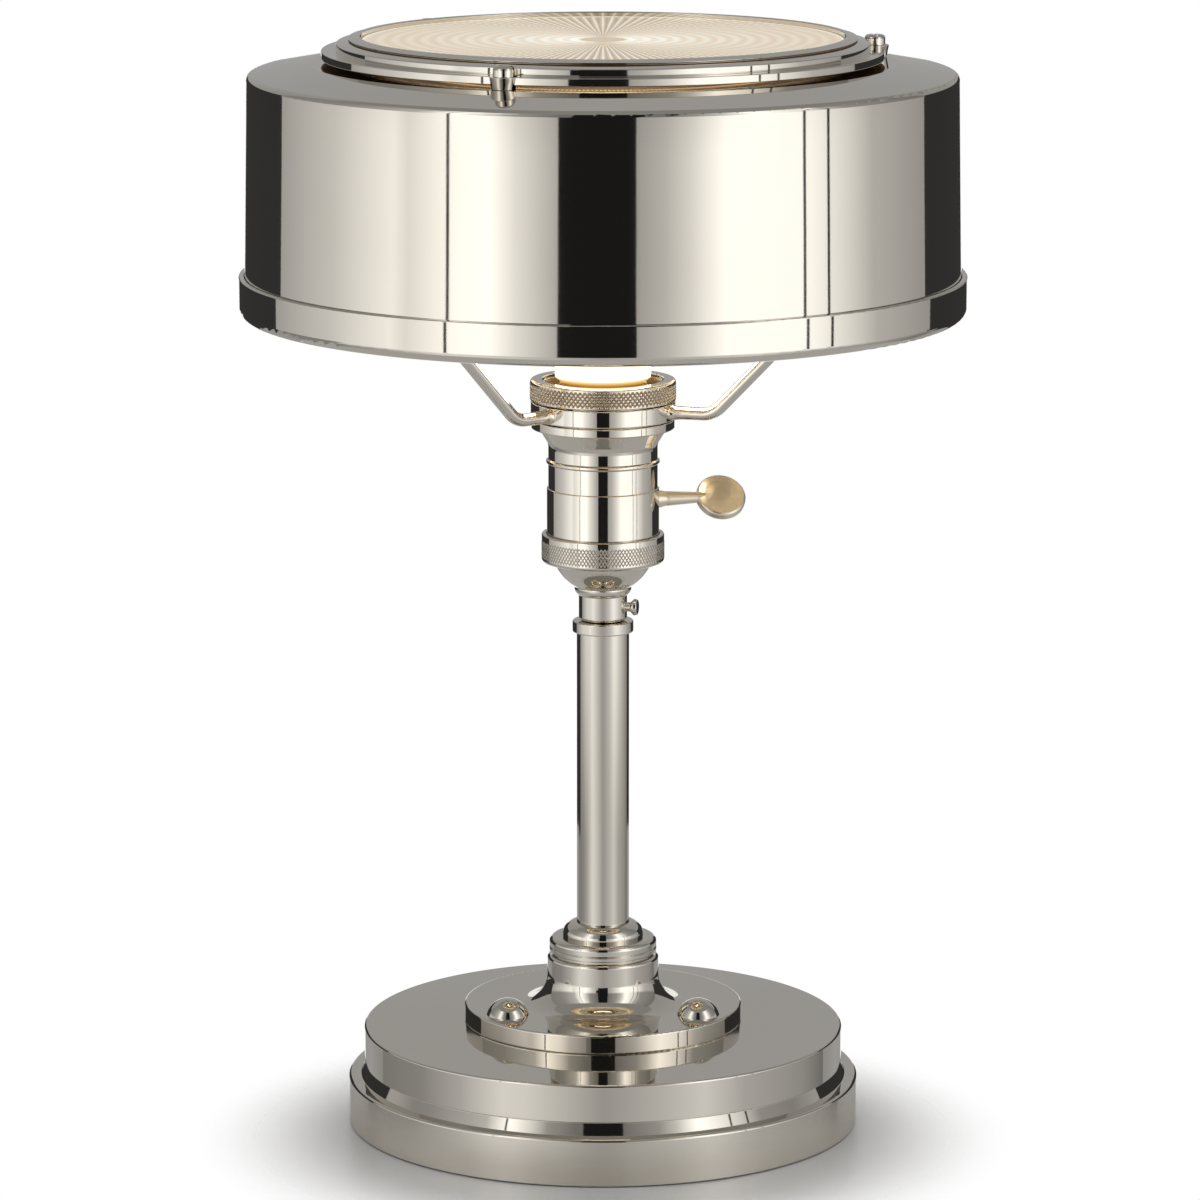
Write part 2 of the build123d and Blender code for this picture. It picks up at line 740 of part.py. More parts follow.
# Switch key: a tapered shaft with a round paddle, and the cam that it turns
key_plane = upright(key_azimuth, 0, z_key)
with BuildPart() as switch_key:
    tilt = radians(paddle_tilt)
    paddle_middle = key_plane.from_local_coords((paddle_centre, 0, 0))
    paddle_normal = key_plane.z_dir * cos(tilt) + key_plane.y_dir * sin(tilt)
    paddle_edge = rounding(paddle_round, paddle_thickness / 2)
    turn(
        [
            (0, -paddle_thickness / 2, 0),
            (paddle_radius, -paddle_thickness / 2, paddle_edge),
            (paddle_radius, paddle_thickness / 2, paddle_edge),
            (0, paddle_thickness / 2, 0),
        ],
        Plane(paddle_middle, x_dir=key_plane.x_dir, z_dir=key_plane.x_dir.cross(paddle_normal)),
        Axis(paddle_middle, paddle_normal),
    )
    key_inner_end = -cam_length / 2 - key_past_cam
    turn(
        [
            (key_inner_end, 0, 0),
            (key_inner_end, key_shaft_radius, 0),
            (key_taper_start, key_shaft_radius, 0),
            (paddle_centre - paddle_radius, key_tip_radius, 0),
            (paddle_centre, key_tip_radius, 0),
            (paddle_centre, 0, 0),
        ],
        key_plane,
        Axis(key_plane.origin, key_plane.x_dir),
    )

with BuildPart() as switch_cam:
    with BuildSketch(facing(key_azimuth, -cam_length / 2, z_key)):
        Rectangle(cam_side, cam_side)
        Circle(key_shaft_radius + seat_gap, mode=Mode.SUBTRACT)
    extrude(amount=cam_length)

# Rings that clamp the shade on the socket
with BuildPart() as fitter_ring:
    ring(carrier_bore, fitter_radius, z_fitter, fitter_height, ring_round)

with BuildPart() as lock_ring:
    ring(carrier_bore, lock_ring_radius, z_lock_ring, lock_ring_height, ring_round)

# Shade arms: each rod leaves the ring level, bends, and climbs to its foot on the drum's wall
foot_outside = drum_bore(z_foot) - seat_gap
with BuildPart() as shade_arms:
    for azimuth in around(arm_count, arm_azimuth):
        with BuildLine(upright(azimuth)) as rod_line:
            rod_corners = [(spigot_radius, z_arm), (arm_reach, z_arm), (foot_outside, z_foot)]
            FilletPolyline(*rod_corners, radius=arm_bend)
        with BuildSketch(facing(azimuth, spigot_radius, z_arm)) as rod_section:
            Circle(arm_rod_radius)
        sweep(rod_section.sketch, path=rod_line.line)
    turn(
        [
            (0, z_arm - fitter_height, 0),
            (fitter_radius + seat_gap, z_arm - fitter_height, 0),
            (fitter_radius + seat_gap, z_arm + fitter_height, 0),
            (0, z_arm + fitter_height, 0),
        ],
        mode=Mode.SUBTRACT,
    )
    foot_low = z_foot - 2 * foot_height
    foot_high = z_foot + 2 * foot_height
    foot_inset = foot_thickness + 2 * seat_gap
    turn(
        [
            (drum_bore(foot_low) - foot_inset, foot_low, 0),
            (rim_radius, foot_low, 0),
            (rim_radius, foot_high, 0),
            (drum_bore(foot_high) - foot_inset, foot_high, 0),
        ],
        mode=Mode.SUBTRACT,
    )

# Feet that braze the arms to the drum: pieces of a tapered ring
with BuildPart() as arm_feet:
    foot_low = z_foot - foot_height / 2
    foot_high = z_foot + foot_height / 2
    foot_arc = 2 * degrees(asin(foot_width / 2 / foot_outside))
    for azimuth in around(arm_count, arm_azimuth):
        with BuildSketch(upright(azimuth - foot_arc / 2)) as foot_section:
            Polygon(
                (drum_bore(foot_low) - seat_gap - foot_thickness, foot_low),
                (drum_bore(foot_low) - seat_gap, foot_low),
                (drum_bore(foot_high) - seat_gap, foot_high),
                (drum_bore(foot_high) - seat_gap - foot_thickness, foot_high),
            )
        revolve(foot_section.sketch, axis=Axis.Z, revolution_arc=foot_arc)

# Shade drum: a tapered wall, a shallow crown and a wide hole under the lens
with BuildPart() as shade_drum:
    turn(
        [
            (drum_bottom_radius - drum_wall, z_drum, 0),
            (drum_bottom_radius, z_drum, 0),
            (drum_top_radius, z_drum_top, drum_round),
            (crown_seat_radius, z_crown, 0),
            (light_hole_radius, z_crown, 0),
            (light_hole_radius, z_crown - drum_wall, 0),
            (crown_seat_radius, z_crown - drum_wall, 0),
            (drum_top_radius - drum_wall, z_drum_top - drum_wall, max(drum_round - drum_wall, 0)),
        ]
    )
    for azimuth in around(frame_boss_count, frame_boss_azimuth):
        post(frame_boss_circle, azimuth, lens_screw_hole, z_crown - drum_wall, drum_wall, Mode.SUBTRACT)

with BuildPart() as shade_rim:
    rim_inside = rim_radius - rim_lip_width
    turn(
        [
            (rim_inside, z_shade_rim, 0),
            (rim_radius, z_shade_rim, rounding(rim_round, rim_lip_width)),
            (rim_radius, z_shade_rim + rim_height, rim_edge),
            (rim_bore, z_shade_rim + rim_height, 0),
            (rim_bore, z_drum, 0),
            (rim_inside, z_drum, 0),
        ]
    )

# Lens frame on its three bosses
with BuildPart() as lens_frame:
    turn(
        [
            (lens_seat_radius, z_frame, 0),
            (frame_radius, z_frame, frame_edge),
            (frame_radius, z_frame_top, frame_edge),
            (frame_step_radius, z_frame_top, 0),
            (frame_step_radius, z_bezel_step, frame_edge),
            (bezel_radius, z_bezel_foot, 0),
            (bezel_radius, z_bezel_top, frame_edge),
            (bezel_lip_radius, z_lip, frame_edge),
            (bezel_bore, z_lip, frame_edge),
            (bezel_bore, z_bezel_ledge, 0),
            (lens_view_radius, z_bezel_ledge, 0),
            (lens_view_radius, z_lens_ledge, 0),
            (lens_seat_radius, z_lens_ledge, 0),
        ]
    )
    for azimuth in around(frame_boss_count, frame_boss_azimuth):
        post(frame_boss_circle, azimuth, frame_boss_radius, z_crown, z_frame_top - z_crown)
    for azimuth in around(frame_boss_count, frame_boss_azimuth):
        post(frame_boss_circle, azimuth, lens_screw_hole, z_crown, z_lip - z_crown, Mode.SUBTRACT)

with BuildPart() as lens_gasket:
    ring(lens_view_radius + slip_gap, lens_radius, z_lens_top, gasket_thickness)

with BuildPart() as lens_glass:
    crown_radius = lens_view_radius - slip_gap
    turn(
        [
            (0, z_lens, 0),
            (lens_radius, z_lens, 0),
            (lens_radius, z_lens_top, 0),
            (crown_radius, z_lens_top, 0),
            (crown_radius, z_lens_top + lens_crown, rounding(lens_crown_round, lens_crown)),
            (0, z_lens_top + lens_crown, 0),
        ]
    )

with BuildPart() as lens_retainer:
    retainer_radius = lens_seat_radius - seat_gap
    ring(retainer_radius - retainer_width, retainer_radius, z_frame, retainer_thickness)

with BuildPart() as lens_screws:
    screw_foot = z_crown - drum_wall - lens_nut_height - lens_screw_past_nut
    for azimuth in around(frame_boss_count, frame_boss_azimuth):
        post(frame_boss_circle, azimuth, lens_screw_head_radius, z_frame_top, lens_screw_head_height)
    top_edges = lens_screws.faces().filter_by(Axis.Z).group_by(Axis.Z)[-1].edges()
    fillet(top_edges, rounding(lens_screw_head_round, lens_screw_head_height))
    for azimuth in around(frame_boss_count, frame_boss_azimuth):
        slot_plane = upright(azimuth, frame_boss_circle, z_frame_top + lens_screw_head_height)
        with BuildSketch(slot_plane) as screw_slot:
            Rectangle(lens_screw_slot_width, 2 * lens_screw_slot_depth)
        extrude(screw_slot.sketch, amount=2 * lens_screw_head_radius, both=True, mode=Mode.SUBTRACT)
    for azimuth in around(frame_boss_count, frame_boss_azimuth):
        post(frame_boss_circle, azimuth, lens_screw_shank, screw_foot, z_frame_top - screw_foot)

with BuildPart() as lens_nuts:
    nut_foot = z_crown - drum_wall - lens_nut_height
    with BuildSketch(Plane.XY.offset(nut_foot)):
        with PolarLocations(frame_boss_circle, frame_boss_count, frame_boss_azimuth):
            RegularPolygon(lens_nut_flats / 2, 6, major_radius=False)
            Circle(lens_screw_hole, mode=Mode.SUBTRACT)
    extrude(amount=lens_nut_height)

# Bulb: contact tip, insulator, screw base, opal glass and the filament on its glass mount
with BuildPart() as bulb_tip:
    with BuildSketch(Plane.XY.offset(z_bulb)):
        Circle(bulb_tip_radius)
    extrude(amount=bulb_tip_height)
    fillet(bulb_tip.faces().sort_by(Axis.Z)[0].edges(), rounding(bulb_tip_round, bulb_tip_height))

with BuildPart() as bulb_insulator:
    turn(
        [
            (0, z_insulator, 0),
            (bulb_tip_radius, z_insulator, 0),
            (bulb_insulator_radius, z_bulb_base, 0),
            (0, z_bulb_base, 0),
        ]
    )

with BuildPart() as bulb_base:
    turn(
        [
            (0, z_bulb_base, 0),
            (bulb_base_radius, z_bulb_base, bulb_base_wall),
            (bulb_base_radius, z_bulb_neck, 0),
            (bulb_base_bore, z_bulb_neck, 0),
            (bulb_base_bore, z_bulb_base + bulb_base_wall, 0),
            (0, z_bulb_base + bulb_base_wall, 0),
        ]
    )

# The glass outline is a neck, a hollow curve and a ball, each tangent to the next
z_curve = z_glass_neck + bulb_neck_length
flare_drop = sqrt((bulb_ball_radius + bulb_flare) ** 2 - (bulb_neck_radius + bulb_flare) ** 2)
z_ball = z_curve + flare_drop
meeting = bulb_ball_radius / (bulb_ball_radius + bulb_flare)
ball_start = (meeting * (bulb_neck_radius + bulb_flare), z_ball - meeting * flare_drop)
inner_ball = bulb_ball_radius - bulb_glass_wall
inner_neck = bulb_neck_radius - bulb_glass_wall
inner_meeting = inner_ball / bulb_ball_radius
inner_start = (ball_start[0] * inner_meeting, z_ball + (ball_start[1] - z_ball) * inner_meeting)
with BuildPart() as bulb_glass:
    with BuildSketch(Plane.XZ):
        with BuildLine():
            Polyline(
                (glass_foot_radius - bulb_glass_wall, z_glass_foot),
                (glass_foot_radius, z_glass_foot),
                (glass_foot_radius, z_bulb_neck),
                (bulb_neck_radius, z_glass_neck),
                (bulb_neck_radius, z_curve),
            )
            RadiusArc((bulb_neck_radius, z_curve), ball_start, bulb_flare)
            RadiusArc(ball_start, (0, z_ball + bulb_ball_radius), -bulb_ball_radius)
            Line((0, z_ball + bulb_ball_radius), (0, z_ball + inner_ball))
            RadiusArc((0, z_ball + inner_ball), inner_start, inner_ball)
            RadiusArc(inner_start, (inner_neck, z_curve), -bulb_flare - bulb_glass_wall)
            Polyline(
                (inner_neck, z_curve),
                (inner_neck, z_glass_neck),
                (glass_foot_radius - bulb_glass_wall, z_bulb_neck),
                (glass_foot_radius - bulb_glass_wall, z_glass_foot),
            )
        make_face()
    revolve(axis=Axis.Z)

with BuildPart() as bulb_mount:
    turn(
        [
            (0, z_glass_foot, 0),
            (glass_foot_radius - bulb_glass_wall - seat_gap, z_glass_foot, 0),
            (mount_flare_radius, z_glass_foot + mount_flare_height, 0),
            (mount_radius, z_glass_foot + 2 * mount_flare_height, 0),
            (mount_radius, z_glass_foot + mount_height, rounding(mount_round, mount_radius)),
            (0, z_glass_foot + mount_height, 0),
        ]
    )

# Two leads rise from the mount, and the filament hangs between them in an arch
with BuildPart() as bulb_filament:
    z_lead = z_glass_foot + mount_height
    lead_foot = mount_radius - lead_radius
    with BuildLine(Plane.XZ) as filament_line:
        FilletPolyline(
            (-lead_foot / 2, z_lead),
            (-lead_spread, z_lead + lead_height),
            (0, z_lead + lead_height + filament_rise),
            (lead_spread, z_lead + lead_height),
            (lead_foot / 2, z_lead),
            radius=filament_bend,
        )
    with BuildSketch(Plane(filament_line.line @ 0, z_dir=filament_line.line % 0)) as lead_section:
        Circle(lead_radius)
    sweep(lead_section.sketch, path=filament_line.line)
    with BuildSketch(Plane.XY.offset(z_lead)) as mount_top:
        Circle(mount_radius)
    extrude(mount_top.sketch, amount=-lead_height, mode=Mode.SUBTRACT)

# Write one file per piece
pieces = {
    "base_shell": base_shell,
    "base_weight": base_weight,
    "base_pad": base_pad,
    "cord_bushing": cord_bushing,
    "stem_flange": stem_flange,
    "flange_screws": flange_screws,
    "collar_ring": collar_ring,
    "dome_collar": dome_collar,
    "stem_tube": stem_tube,
    "threaded_pipe": threaded_pipe,
    "pipe_washer": pipe_washer,
    "pipe_nut": pipe_nut,
    "stem_ferrule": stem_ferrule,
    "socket_cap": socket_cap,
    "cap_set_screw": cap_set_screw,
    "socket_shell": socket_shell,
    "insulating_sleeve": insulating_sleeve,
    "socket_body": socket_body,
    "terminal_screws": terminal_screws,
    "screw_shell": screw_shell,
    "centre_contact": centre_contact,
    "switch_key": switch_key,
    "switch_cam": switch_cam,
    "fitter_ring": fitter_ring,
    "lock_ring": lock_ring,
    "shade_arms": shade_arms,
    "arm_feet": arm_feet,
    "shade_drum": shade_drum,
    "shade_rim": shade_rim,
    "lens_frame": lens_frame,
    "lens_gasket": lens_gasket,
    "lens_glass": lens_glass,
    "lens_retainer": lens_retainer,
    "lens_screws": lens_screws,
    "lens_nuts": lens_nuts,
    "bulb_tip": bulb_tip,
    "bulb_insulator": bulb_insulator,
    "bulb_base": bulb_base,
    "bulb_glass": bulb_glass,
    "bulb_mount": bulb_mount,
    "bulb_filament": bulb_filament,
}
os.makedirs("parts", exist_ok=True)
for name, piece in pieces.items():
    piece.part.label = name
    export_step(piece.part, f"parts/{name}.step")
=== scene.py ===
"""Looks of the table lamp: polished nickel, a glowing prismatic lens and a lit opal bulb, around the CAD frame.

The lamp's lengths are millimetres and turn into metres when a shape becomes a mesh; the studio's are metres. +Z is
up, and the lamp's axis is x = y = 0. Azimuths are degrees about +Z from +X. Bearings, used for the studio, are
degrees from the camera's side towards +X.
"""

import json
from collections import namedtuple

import bpy
import numpy as np
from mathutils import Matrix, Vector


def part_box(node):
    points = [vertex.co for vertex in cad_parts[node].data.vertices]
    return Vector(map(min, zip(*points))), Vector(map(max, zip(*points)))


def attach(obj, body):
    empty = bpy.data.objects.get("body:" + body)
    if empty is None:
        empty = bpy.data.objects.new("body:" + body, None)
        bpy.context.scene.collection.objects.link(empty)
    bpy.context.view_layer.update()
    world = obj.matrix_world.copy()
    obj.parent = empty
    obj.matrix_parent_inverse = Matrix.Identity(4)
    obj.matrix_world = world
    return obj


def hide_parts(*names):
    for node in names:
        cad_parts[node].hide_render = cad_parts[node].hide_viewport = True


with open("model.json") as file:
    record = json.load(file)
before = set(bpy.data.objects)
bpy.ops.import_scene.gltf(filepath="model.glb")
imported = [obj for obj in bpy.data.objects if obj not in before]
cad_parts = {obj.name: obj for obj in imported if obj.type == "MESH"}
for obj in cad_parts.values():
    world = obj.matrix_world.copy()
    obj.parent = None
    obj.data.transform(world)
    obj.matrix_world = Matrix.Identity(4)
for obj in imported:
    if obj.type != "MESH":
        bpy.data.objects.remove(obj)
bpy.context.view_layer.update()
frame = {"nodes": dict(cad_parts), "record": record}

mm = 0.001
nodes = frame["nodes"]
scene = bpy.context.scene


# Materials

def material(name, **sockets):
    """New node material: its tree and its Principled shader, with constant values on the shader's own sockets."""
    made = bpy.data.materials.new(name)
    made.use_nodes = True
    shader = made.node_tree.nodes["Principled BSDF"]
    for socket, value in sockets.items():
        shader.inputs[socket.replace("_", " ")].default_value = value
    return made, made.node_tree, shader


def noise(tree, scale, detail=2.0, stretch=(1, 1, 1)):
    """Noise over Object coordinates, which are metres, so scale is features per metre."""
    place = tree.nodes.new("ShaderNodeTexCoord")
    mapping = tree.nodes.new("ShaderNodeMapping")
    mapping.inputs["Scale"].default_value = stretch
    pattern = tree.nodes.new("ShaderNodeTexNoise")
    pattern.inputs["Scale"].default_value = scale
    pattern.inputs["Detail"].default_value = detail
    tree.links.new(place.outputs["Object"], mapping.inputs["Vector"])
    tree.links.new(mapping.outputs["Vector"], pattern.inputs["Vector"])
    return pattern.outputs["Fac"]


def ramp(tree, value, *stops):
    """Colour ramp: each stop is (position, colour), the colour with or without its alpha."""
    made = tree.nodes.new("ShaderNodeValToRGB")
    elements = made.color_ramp.elements
    while len(elements) < len(stops):
        elements.new(1.0)
    for element, (position, colour) in zip(elements, stops):
        element.position = position
        element.color = (*colour[:3], 1.0)
    tree.links.new(value, made.inputs["Fac"])
    return made.outputs["Color"]


def span(tree, value, low, high):
    """Map a value of 0 to 1 onto low to high."""
    made = tree.nodes.new("ShaderNodeMapRange")
    made.inputs["To Min"].default_value = low
    made.inputs["To Max"].default_value = high
    tree.links.new(value, made.inputs["Value"])
    return made.outputs["Result"]


def bump(tree, shader, height, depth, earlier=None):
    """Bump of this depth in metres on a shader, on top of an earlier bump if one is given."""
    made = tree.nodes.new("ShaderNodeBump")
    made.inputs["Distance"].default_value = depth
    tree.links.new(height, made.inputs["Height"])
    if earlier:
        tree.links.new(earlier, made.inputs["Normal"])
    tree.links.new(made.outputs["Normal"], shader.inputs["Normal"])
    return made.outputs["Normal"]


def relief_value(tree):
    """The relief attribute that knurls and prisms carry on their points."""
    made = tree.nodes.new("ShaderNodeAttribute")
    made.attribute_name = "relief"
    return made.outputs["Fac"]


def nickel(name, roughness=(0.025, 0.06), wave=4e-5, dark=(0.735, 0.690, 0.610), light=(0.765, 0.725, 0.655)):
    """Polished nickel: warm mirror, slow waves from the buffing wheel, and faint smears in the roughness."""
    made, tree, shader = material(name, Metallic=1.0)
    tone = ramp(tree, noise(tree, 14.0), (0.3, dark), (0.7, light))
    tree.links.new(tone, shader.inputs["Base Color"])
    smear = noise(tree, 60.0, 5.0, (1, 1, 0.3))
    tree.links.new(span(tree, smear, *roughness), shader.inputs["Roughness"])
    bump(tree, shader, noise(tree, 22.0, 1.0), wave)
    return made


def backed_nickel(name, backing, satin, outwards, lift, limit=0.0):
    """Polished nickel over a duller back, which has a colour and a roughness of its own; where the back lies in
    shade, as under the lens frame, that colour is painted shade.

    The back is where the object's own normal, times (x, y, 0) * outwards + (0, 0, lift), is under a limit.
    """
    made = nickel(name)
    tree = made.node_tree
    shader = tree.nodes["Principled BSDF"]
    place = tree.nodes.new("ShaderNodeTexCoord")
    aim = tree.nodes.new("ShaderNodeVectorMath")
    aim.operation = "MULTIPLY_ADD"
    aim.inputs[1].default_value = (outwards, outwards, 0)
    aim.inputs[2].default_value = (0, 0, lift)
    facing = tree.nodes.new("ShaderNodeVectorMath")
    facing.operation = "DOT_PRODUCT"
    tree.links.new(place.outputs["Object"], aim.inputs[0])
    tree.links.new(aim.outputs["Vector"], facing.inputs[0])
    tree.links.new(place.outputs["Normal"], facing.inputs[1])
    front = tree.nodes.new("ShaderNodeMath")
    front.operation = "GREATER_THAN"
    front.inputs[1].default_value = limit
    tree.links.new(facing.outputs["Value"], front.inputs[0])
    for socket, back, kind in (("Base Color", backing, "RGBA"), ("Roughness", satin, "FLOAT")):
        polish = shader.inputs[socket].links[0].from_socket
        mix = tree.nodes.new("ShaderNodeMix")
        mix.data_type = kind
        mix.inputs["A"].default_value = back
        tree.links.new(front.outputs["Value"], mix.inputs["Factor"])
        tree.links.new(polish, mix.inputs["B"])
        tree.links.new(mix.outputs["Result"], shader.inputs[socket])
    return made


def knurled_nickel(name):
    """Nickel that is bright on the flats of a knurl, with brown painted shade in its grooves, by the relief
    attribute.
    """
    made = nickel(name)
    tree = made.node_tree
    shader = tree.nodes["Principled BSDF"]
    bright = shader.inputs["Base Color"].links[0].from_socket
    # brown painted shade, laid into the knurl's grooves by the relief attribute
    groove_shade = (0.30, 0.22, 0.14, 1)
    mix = tree.nodes.new("ShaderNodeMix")
    mix.data_type = "RGBA"
    mix.inputs["A"].default_value = groove_shade
    tree.links.new(relief_value(tree), mix.inputs["Factor"])
    tree.links.new(bright, mix.inputs["B"])
    tree.links.new(mix.outputs["Result"], shader.inputs["Base Color"])
    return made


def grainy(name, dark, light, scale, roughness, depth, metallic=0.0):
    """A plain finish with its grain: colour, roughness and bump all follow one noise."""
    made, tree, shader = material(name, Metallic=metallic)
    grain = noise(tree, scale, 6.0)
    tree.links.new(ramp(tree, grain, (0.3, dark), (0.7, light)), shader.inputs["Base Color"])
    tree.links.new(span(tree, grain, *roughness), shader.inputs["Roughness"])
    bump(tree, shader, grain, depth)
    return made


def glowing(name, dark, light, scale, strength):
    """A lit glass: the glow's colour drifts a little over the surface, under a clear gloss."""
    made, tree, shader = material(name, Roughness=0.12)
    drift = ramp(tree, noise(tree, scale, 3.0), (0.3, dark), (0.7, light))
    tree.links.new(drift, shader.inputs["Base Color"])
    tree.links.new(drift, shader.inputs["Emission Color"])
    shader.inputs["Emission Strength"].default_value = strength
    return made


def bulb_glow(name, foot, top, strength):
    """Lit opal bulb: its glow goes over from umber and amber at the foot, painted shade where it sits in the
    socket, to cream, by height in metres.
    """
    made, tree, shader = material(name, Roughness=0.12)
    place = tree.nodes.new("ShaderNodeTexCoord")
    split = tree.nodes.new("ShaderNodeSeparateXYZ")
    tree.links.new(place.outputs["Object"], split.inputs["Vector"])
    rise = span(tree, split.outputs["Z"], 0.0, 1.0)
    rise.node.inputs["From Min"].default_value = foot
    rise.node.inputs["From Max"].default_value = top
    # umber, amber and honey at the foot are painted shade
    umber, amber = (0.06, 0.023, 0.004), (0.147, 0.08, 0.02)
    honey, cream = (0.24, 0.18, 0.093), (1.0, 0.87, 0.63)
    tone = ramp(tree, rise, (0.0, umber), (0.35, amber), (0.7, honey), (1.0, cream))
    tree.links.new(tone, shader.inputs["Base Color"])
    tree.links.new(tone, shader.inputs["Emission Color"])
    shader.inputs["Emission Strength"].default_value = strength
    return made


def prism_glow():
    """Lit pressed glass, its glow painted light from the bulb below: the relief attribute runs it from brown,
    painted shade, to gold, painted glints, on the frosted underside, up to 0.4, and from honey, painted shade in
    the grooves, to pale, painted highlights on the prisms of the top.
    """
    made, tree, shader = material("prism_glow", Specular_IOR_Level=0.2, Emission_Strength=0.4)
    relief = relief_value(tree)
    umber, gold = (0.07, 0.035, 0.012), (0.95, 0.60, 0.24)
    honey, cream, pale = (0.40, 0.32, 0.21), (0.57, 0.48, 0.35), (1.0, 0.97, 0.90)
    below = (0.0, umber), (0.4, gold)
    above = (0.5, honey), (0.72, cream), (0.86, cream), (1.0, pale)
    tone = ramp(tree, relief, *below, *above)
    frost = span(tree, relief, 0.7, 0.28)
    frost.node.inputs["From Min"].default_value = 0.4
    frost.node.inputs["From Max"].default_value = 0.5
    tree.links.new(frost, shader.inputs["Roughness"])
    tree.links.new(tone, shader.inputs["Base Color"])
    tree.links.new(tone, shader.inputs["Emission Color"])
    bump(tree, shader, noise(tree, 300.0), 2e-5)
    return made


polished = nickel("polished_nickel")
finishes = {
    "polished_nickel": polished,
    "cast_weight": grainy("cast_weight", (0.03, 0.03, 0.03), (0.12, 0.12, 0.12), 400, (0.6, 0.9), 3e-4),
    "felt": grainy("felt", (0.02, 0.02, 0.02), (0.07, 0.07, 0.07), 900, (0.9, 1.0), 4e-4),
    "black_rubber": grainy("black_rubber", (0.015, 0.015, 0.015), (0.04, 0.04, 0.04), 600, (0.5, 0.7), 5e-5),
    "zinc_steel": grainy("zinc_steel", (0.50, 0.50, 0.49), (0.68, 0.68, 0.66), 250, (0.25, 0.45), 2e-5, 1.0),
    "fibre_liner": grainy("fibre_liner", (0.34, 0.26, 0.17), (0.50, 0.40, 0.28), 500, (0.7, 0.9), 6e-5),
    "moulded_insulator": grainy(
        "moulded_insulator", (0.07, 0.03, 0.015), (0.14, 0.07, 0.03), 300, (0.3, 0.5), 2e-5
    ),
    "bare_brass": grainy("bare_brass", (0.70, 0.52, 0.24), (0.82, 0.64, 0.34), 250, (0.2, 0.4), 2e-5, 1.0),
    "pressed_glass": glowing("pressed_glass", (0.86, 0.76, 0.58), (0.94, 0.87, 0.72), 60, 0.85),
    "opal_glass": bulb_glow("opal_glass", 0.2273, 0.2298, 4.5),
    "clear_glass": grainy("clear_glass", (0.85, 0.88, 0.88), (0.95, 0.97, 0.97), 80, (0.02, 0.08), 1e-5),
    "black_glass": grainy("black_glass", (0.02, 0.02, 0.025), (0.05, 0.05, 0.06), 120, (0.05, 0.15), 1e-5),
    "bulb_aluminium": grainy("bulb_aluminium", (0.72, 0.72, 0.72), (0.86, 0.86, 0.86), 250, (0.2, 0.4), 2e-5, 1.0),
    "tungsten": grainy("tungsten", (0.30, 0.30, 0.30), (0.46, 0.46, 0.46), 800, (0.3, 0.5), 1e-5, 1.0),
}
for row in frame["record"]["subparts"]:
    mesh = nodes[row["node"]].data
    mesh.materials.clear()
    mesh.materials.append(finishes[row["material_slot"]])
satin_back = (0.74, 0.70, 0.63, 1)
brassy_back = (0.72, 0.56, 0.37, 1)
drum_nickel = backed_nickel("drum_nickel", satin_back, satin=0.42, outwards=1.0, lift=0.02)
shell_nickel = backed_nickel("shell_nickel", brassy_back, satin=0.5, outwards=1.0, lift=0.02)
nodes["shade_drum"].data.materials[0] = drum_nickel
nodes["socket_shell"].data.materials[0] = shell_nickel


# Shapes

Shape = namedtuple("Shape", "vertices normals faces")
edge_break = 0.06  # rounding of an edge that is left sharp


def grid_faces(rows, columns, join_rows=False, join_columns=True):
    """Quads of a grid whose points are numbered row by row; its last row or column may join the first."""
    index = np.arange(rows * columns).reshape(rows, columns)
    index = np.vstack([index, index[:1]]) if join_rows else index
    index = np.hstack([index, index[:, :1]]) if join_columns else index
    return np.stack([index[:-1, :-1], index[:-1, 1:], index[1:, 1:], index[1:, :-1]], -1).reshape(-1, 4)


def outline(corners, steps=6, closed=True):
    """Points and outward normals of an outline with rounded corners; a corner is (r, z, rounding).

    A corner turns by t between the run behind it and the run ahead. Its arc starts rounding * tan(t / 2) before
    the corner and swings by t about a centre one rounding off the run. The outline is anticlockwise, so a normal
    is the direction of travel turned a quarter to the right. An open outline starts and ends with single points.
    """
    table = np.array(corners, float)
    place, rounding = table[:, :2], np.maximum(table[:, 2:], edge_break)
    ahead = np.roll(place, -1, 0) - place
    ahead /= np.linalg.norm(ahead, axis=1, keepdims=True)
    behind = np.roll(ahead, 1, 0)
    left = behind[:, ::-1] * (-1, 1)
    turn = np.arctan2((left * ahead).sum(1), (behind * ahead).sum(1))[:, None]
    start = place - behind * rounding * np.tan(np.abs(turn) / 2)
    centre = start + left * rounding * np.sign(turn)
    angle = (turn * np.linspace(0, 1, steps))[..., None]

    def swing(spoke):
        return spoke[:, None] * np.cos(angle) + (spoke[:, ::-1] * (-1, 1))[:, None] * np.sin(angle)

    points, normals = centre[:, None] + swing(start - centre), swing(-left)
    if closed:
        return points.reshape(-1, 2), normals.reshape(-1, 2)
    points = np.vstack([place[:1], points[1:-1].reshape(-1, 2), place[-1:]])
    normals = np.vstack([[(0, -1)], normals[1:-1].reshape(-1, 2), [(0, 1)]])
    return points, normals


def spun(pairs, columns):
    """Carry (r, z) pairs round the axis: (r cos t, r sin t, z) at equal angles t."""
    turn = 2 * np.pi * np.arange(columns) / columns
    ray = np.stack([np.cos(turn), np.sin(turn), np.zeros(columns)], -1)
    return pairs[:, :1, None] * ray + pairs[:, 1:, None] * np.array([0, 0, 1.0])


def ring_shape(grid, normals):
    """Closed shape from a grid that joins up both ways."""
    faces = grid_faces(*grid.shape[:2], join_rows=True)
    return Shape(grid.reshape(-1, 3), normals.reshape(-1, 3), [faces])


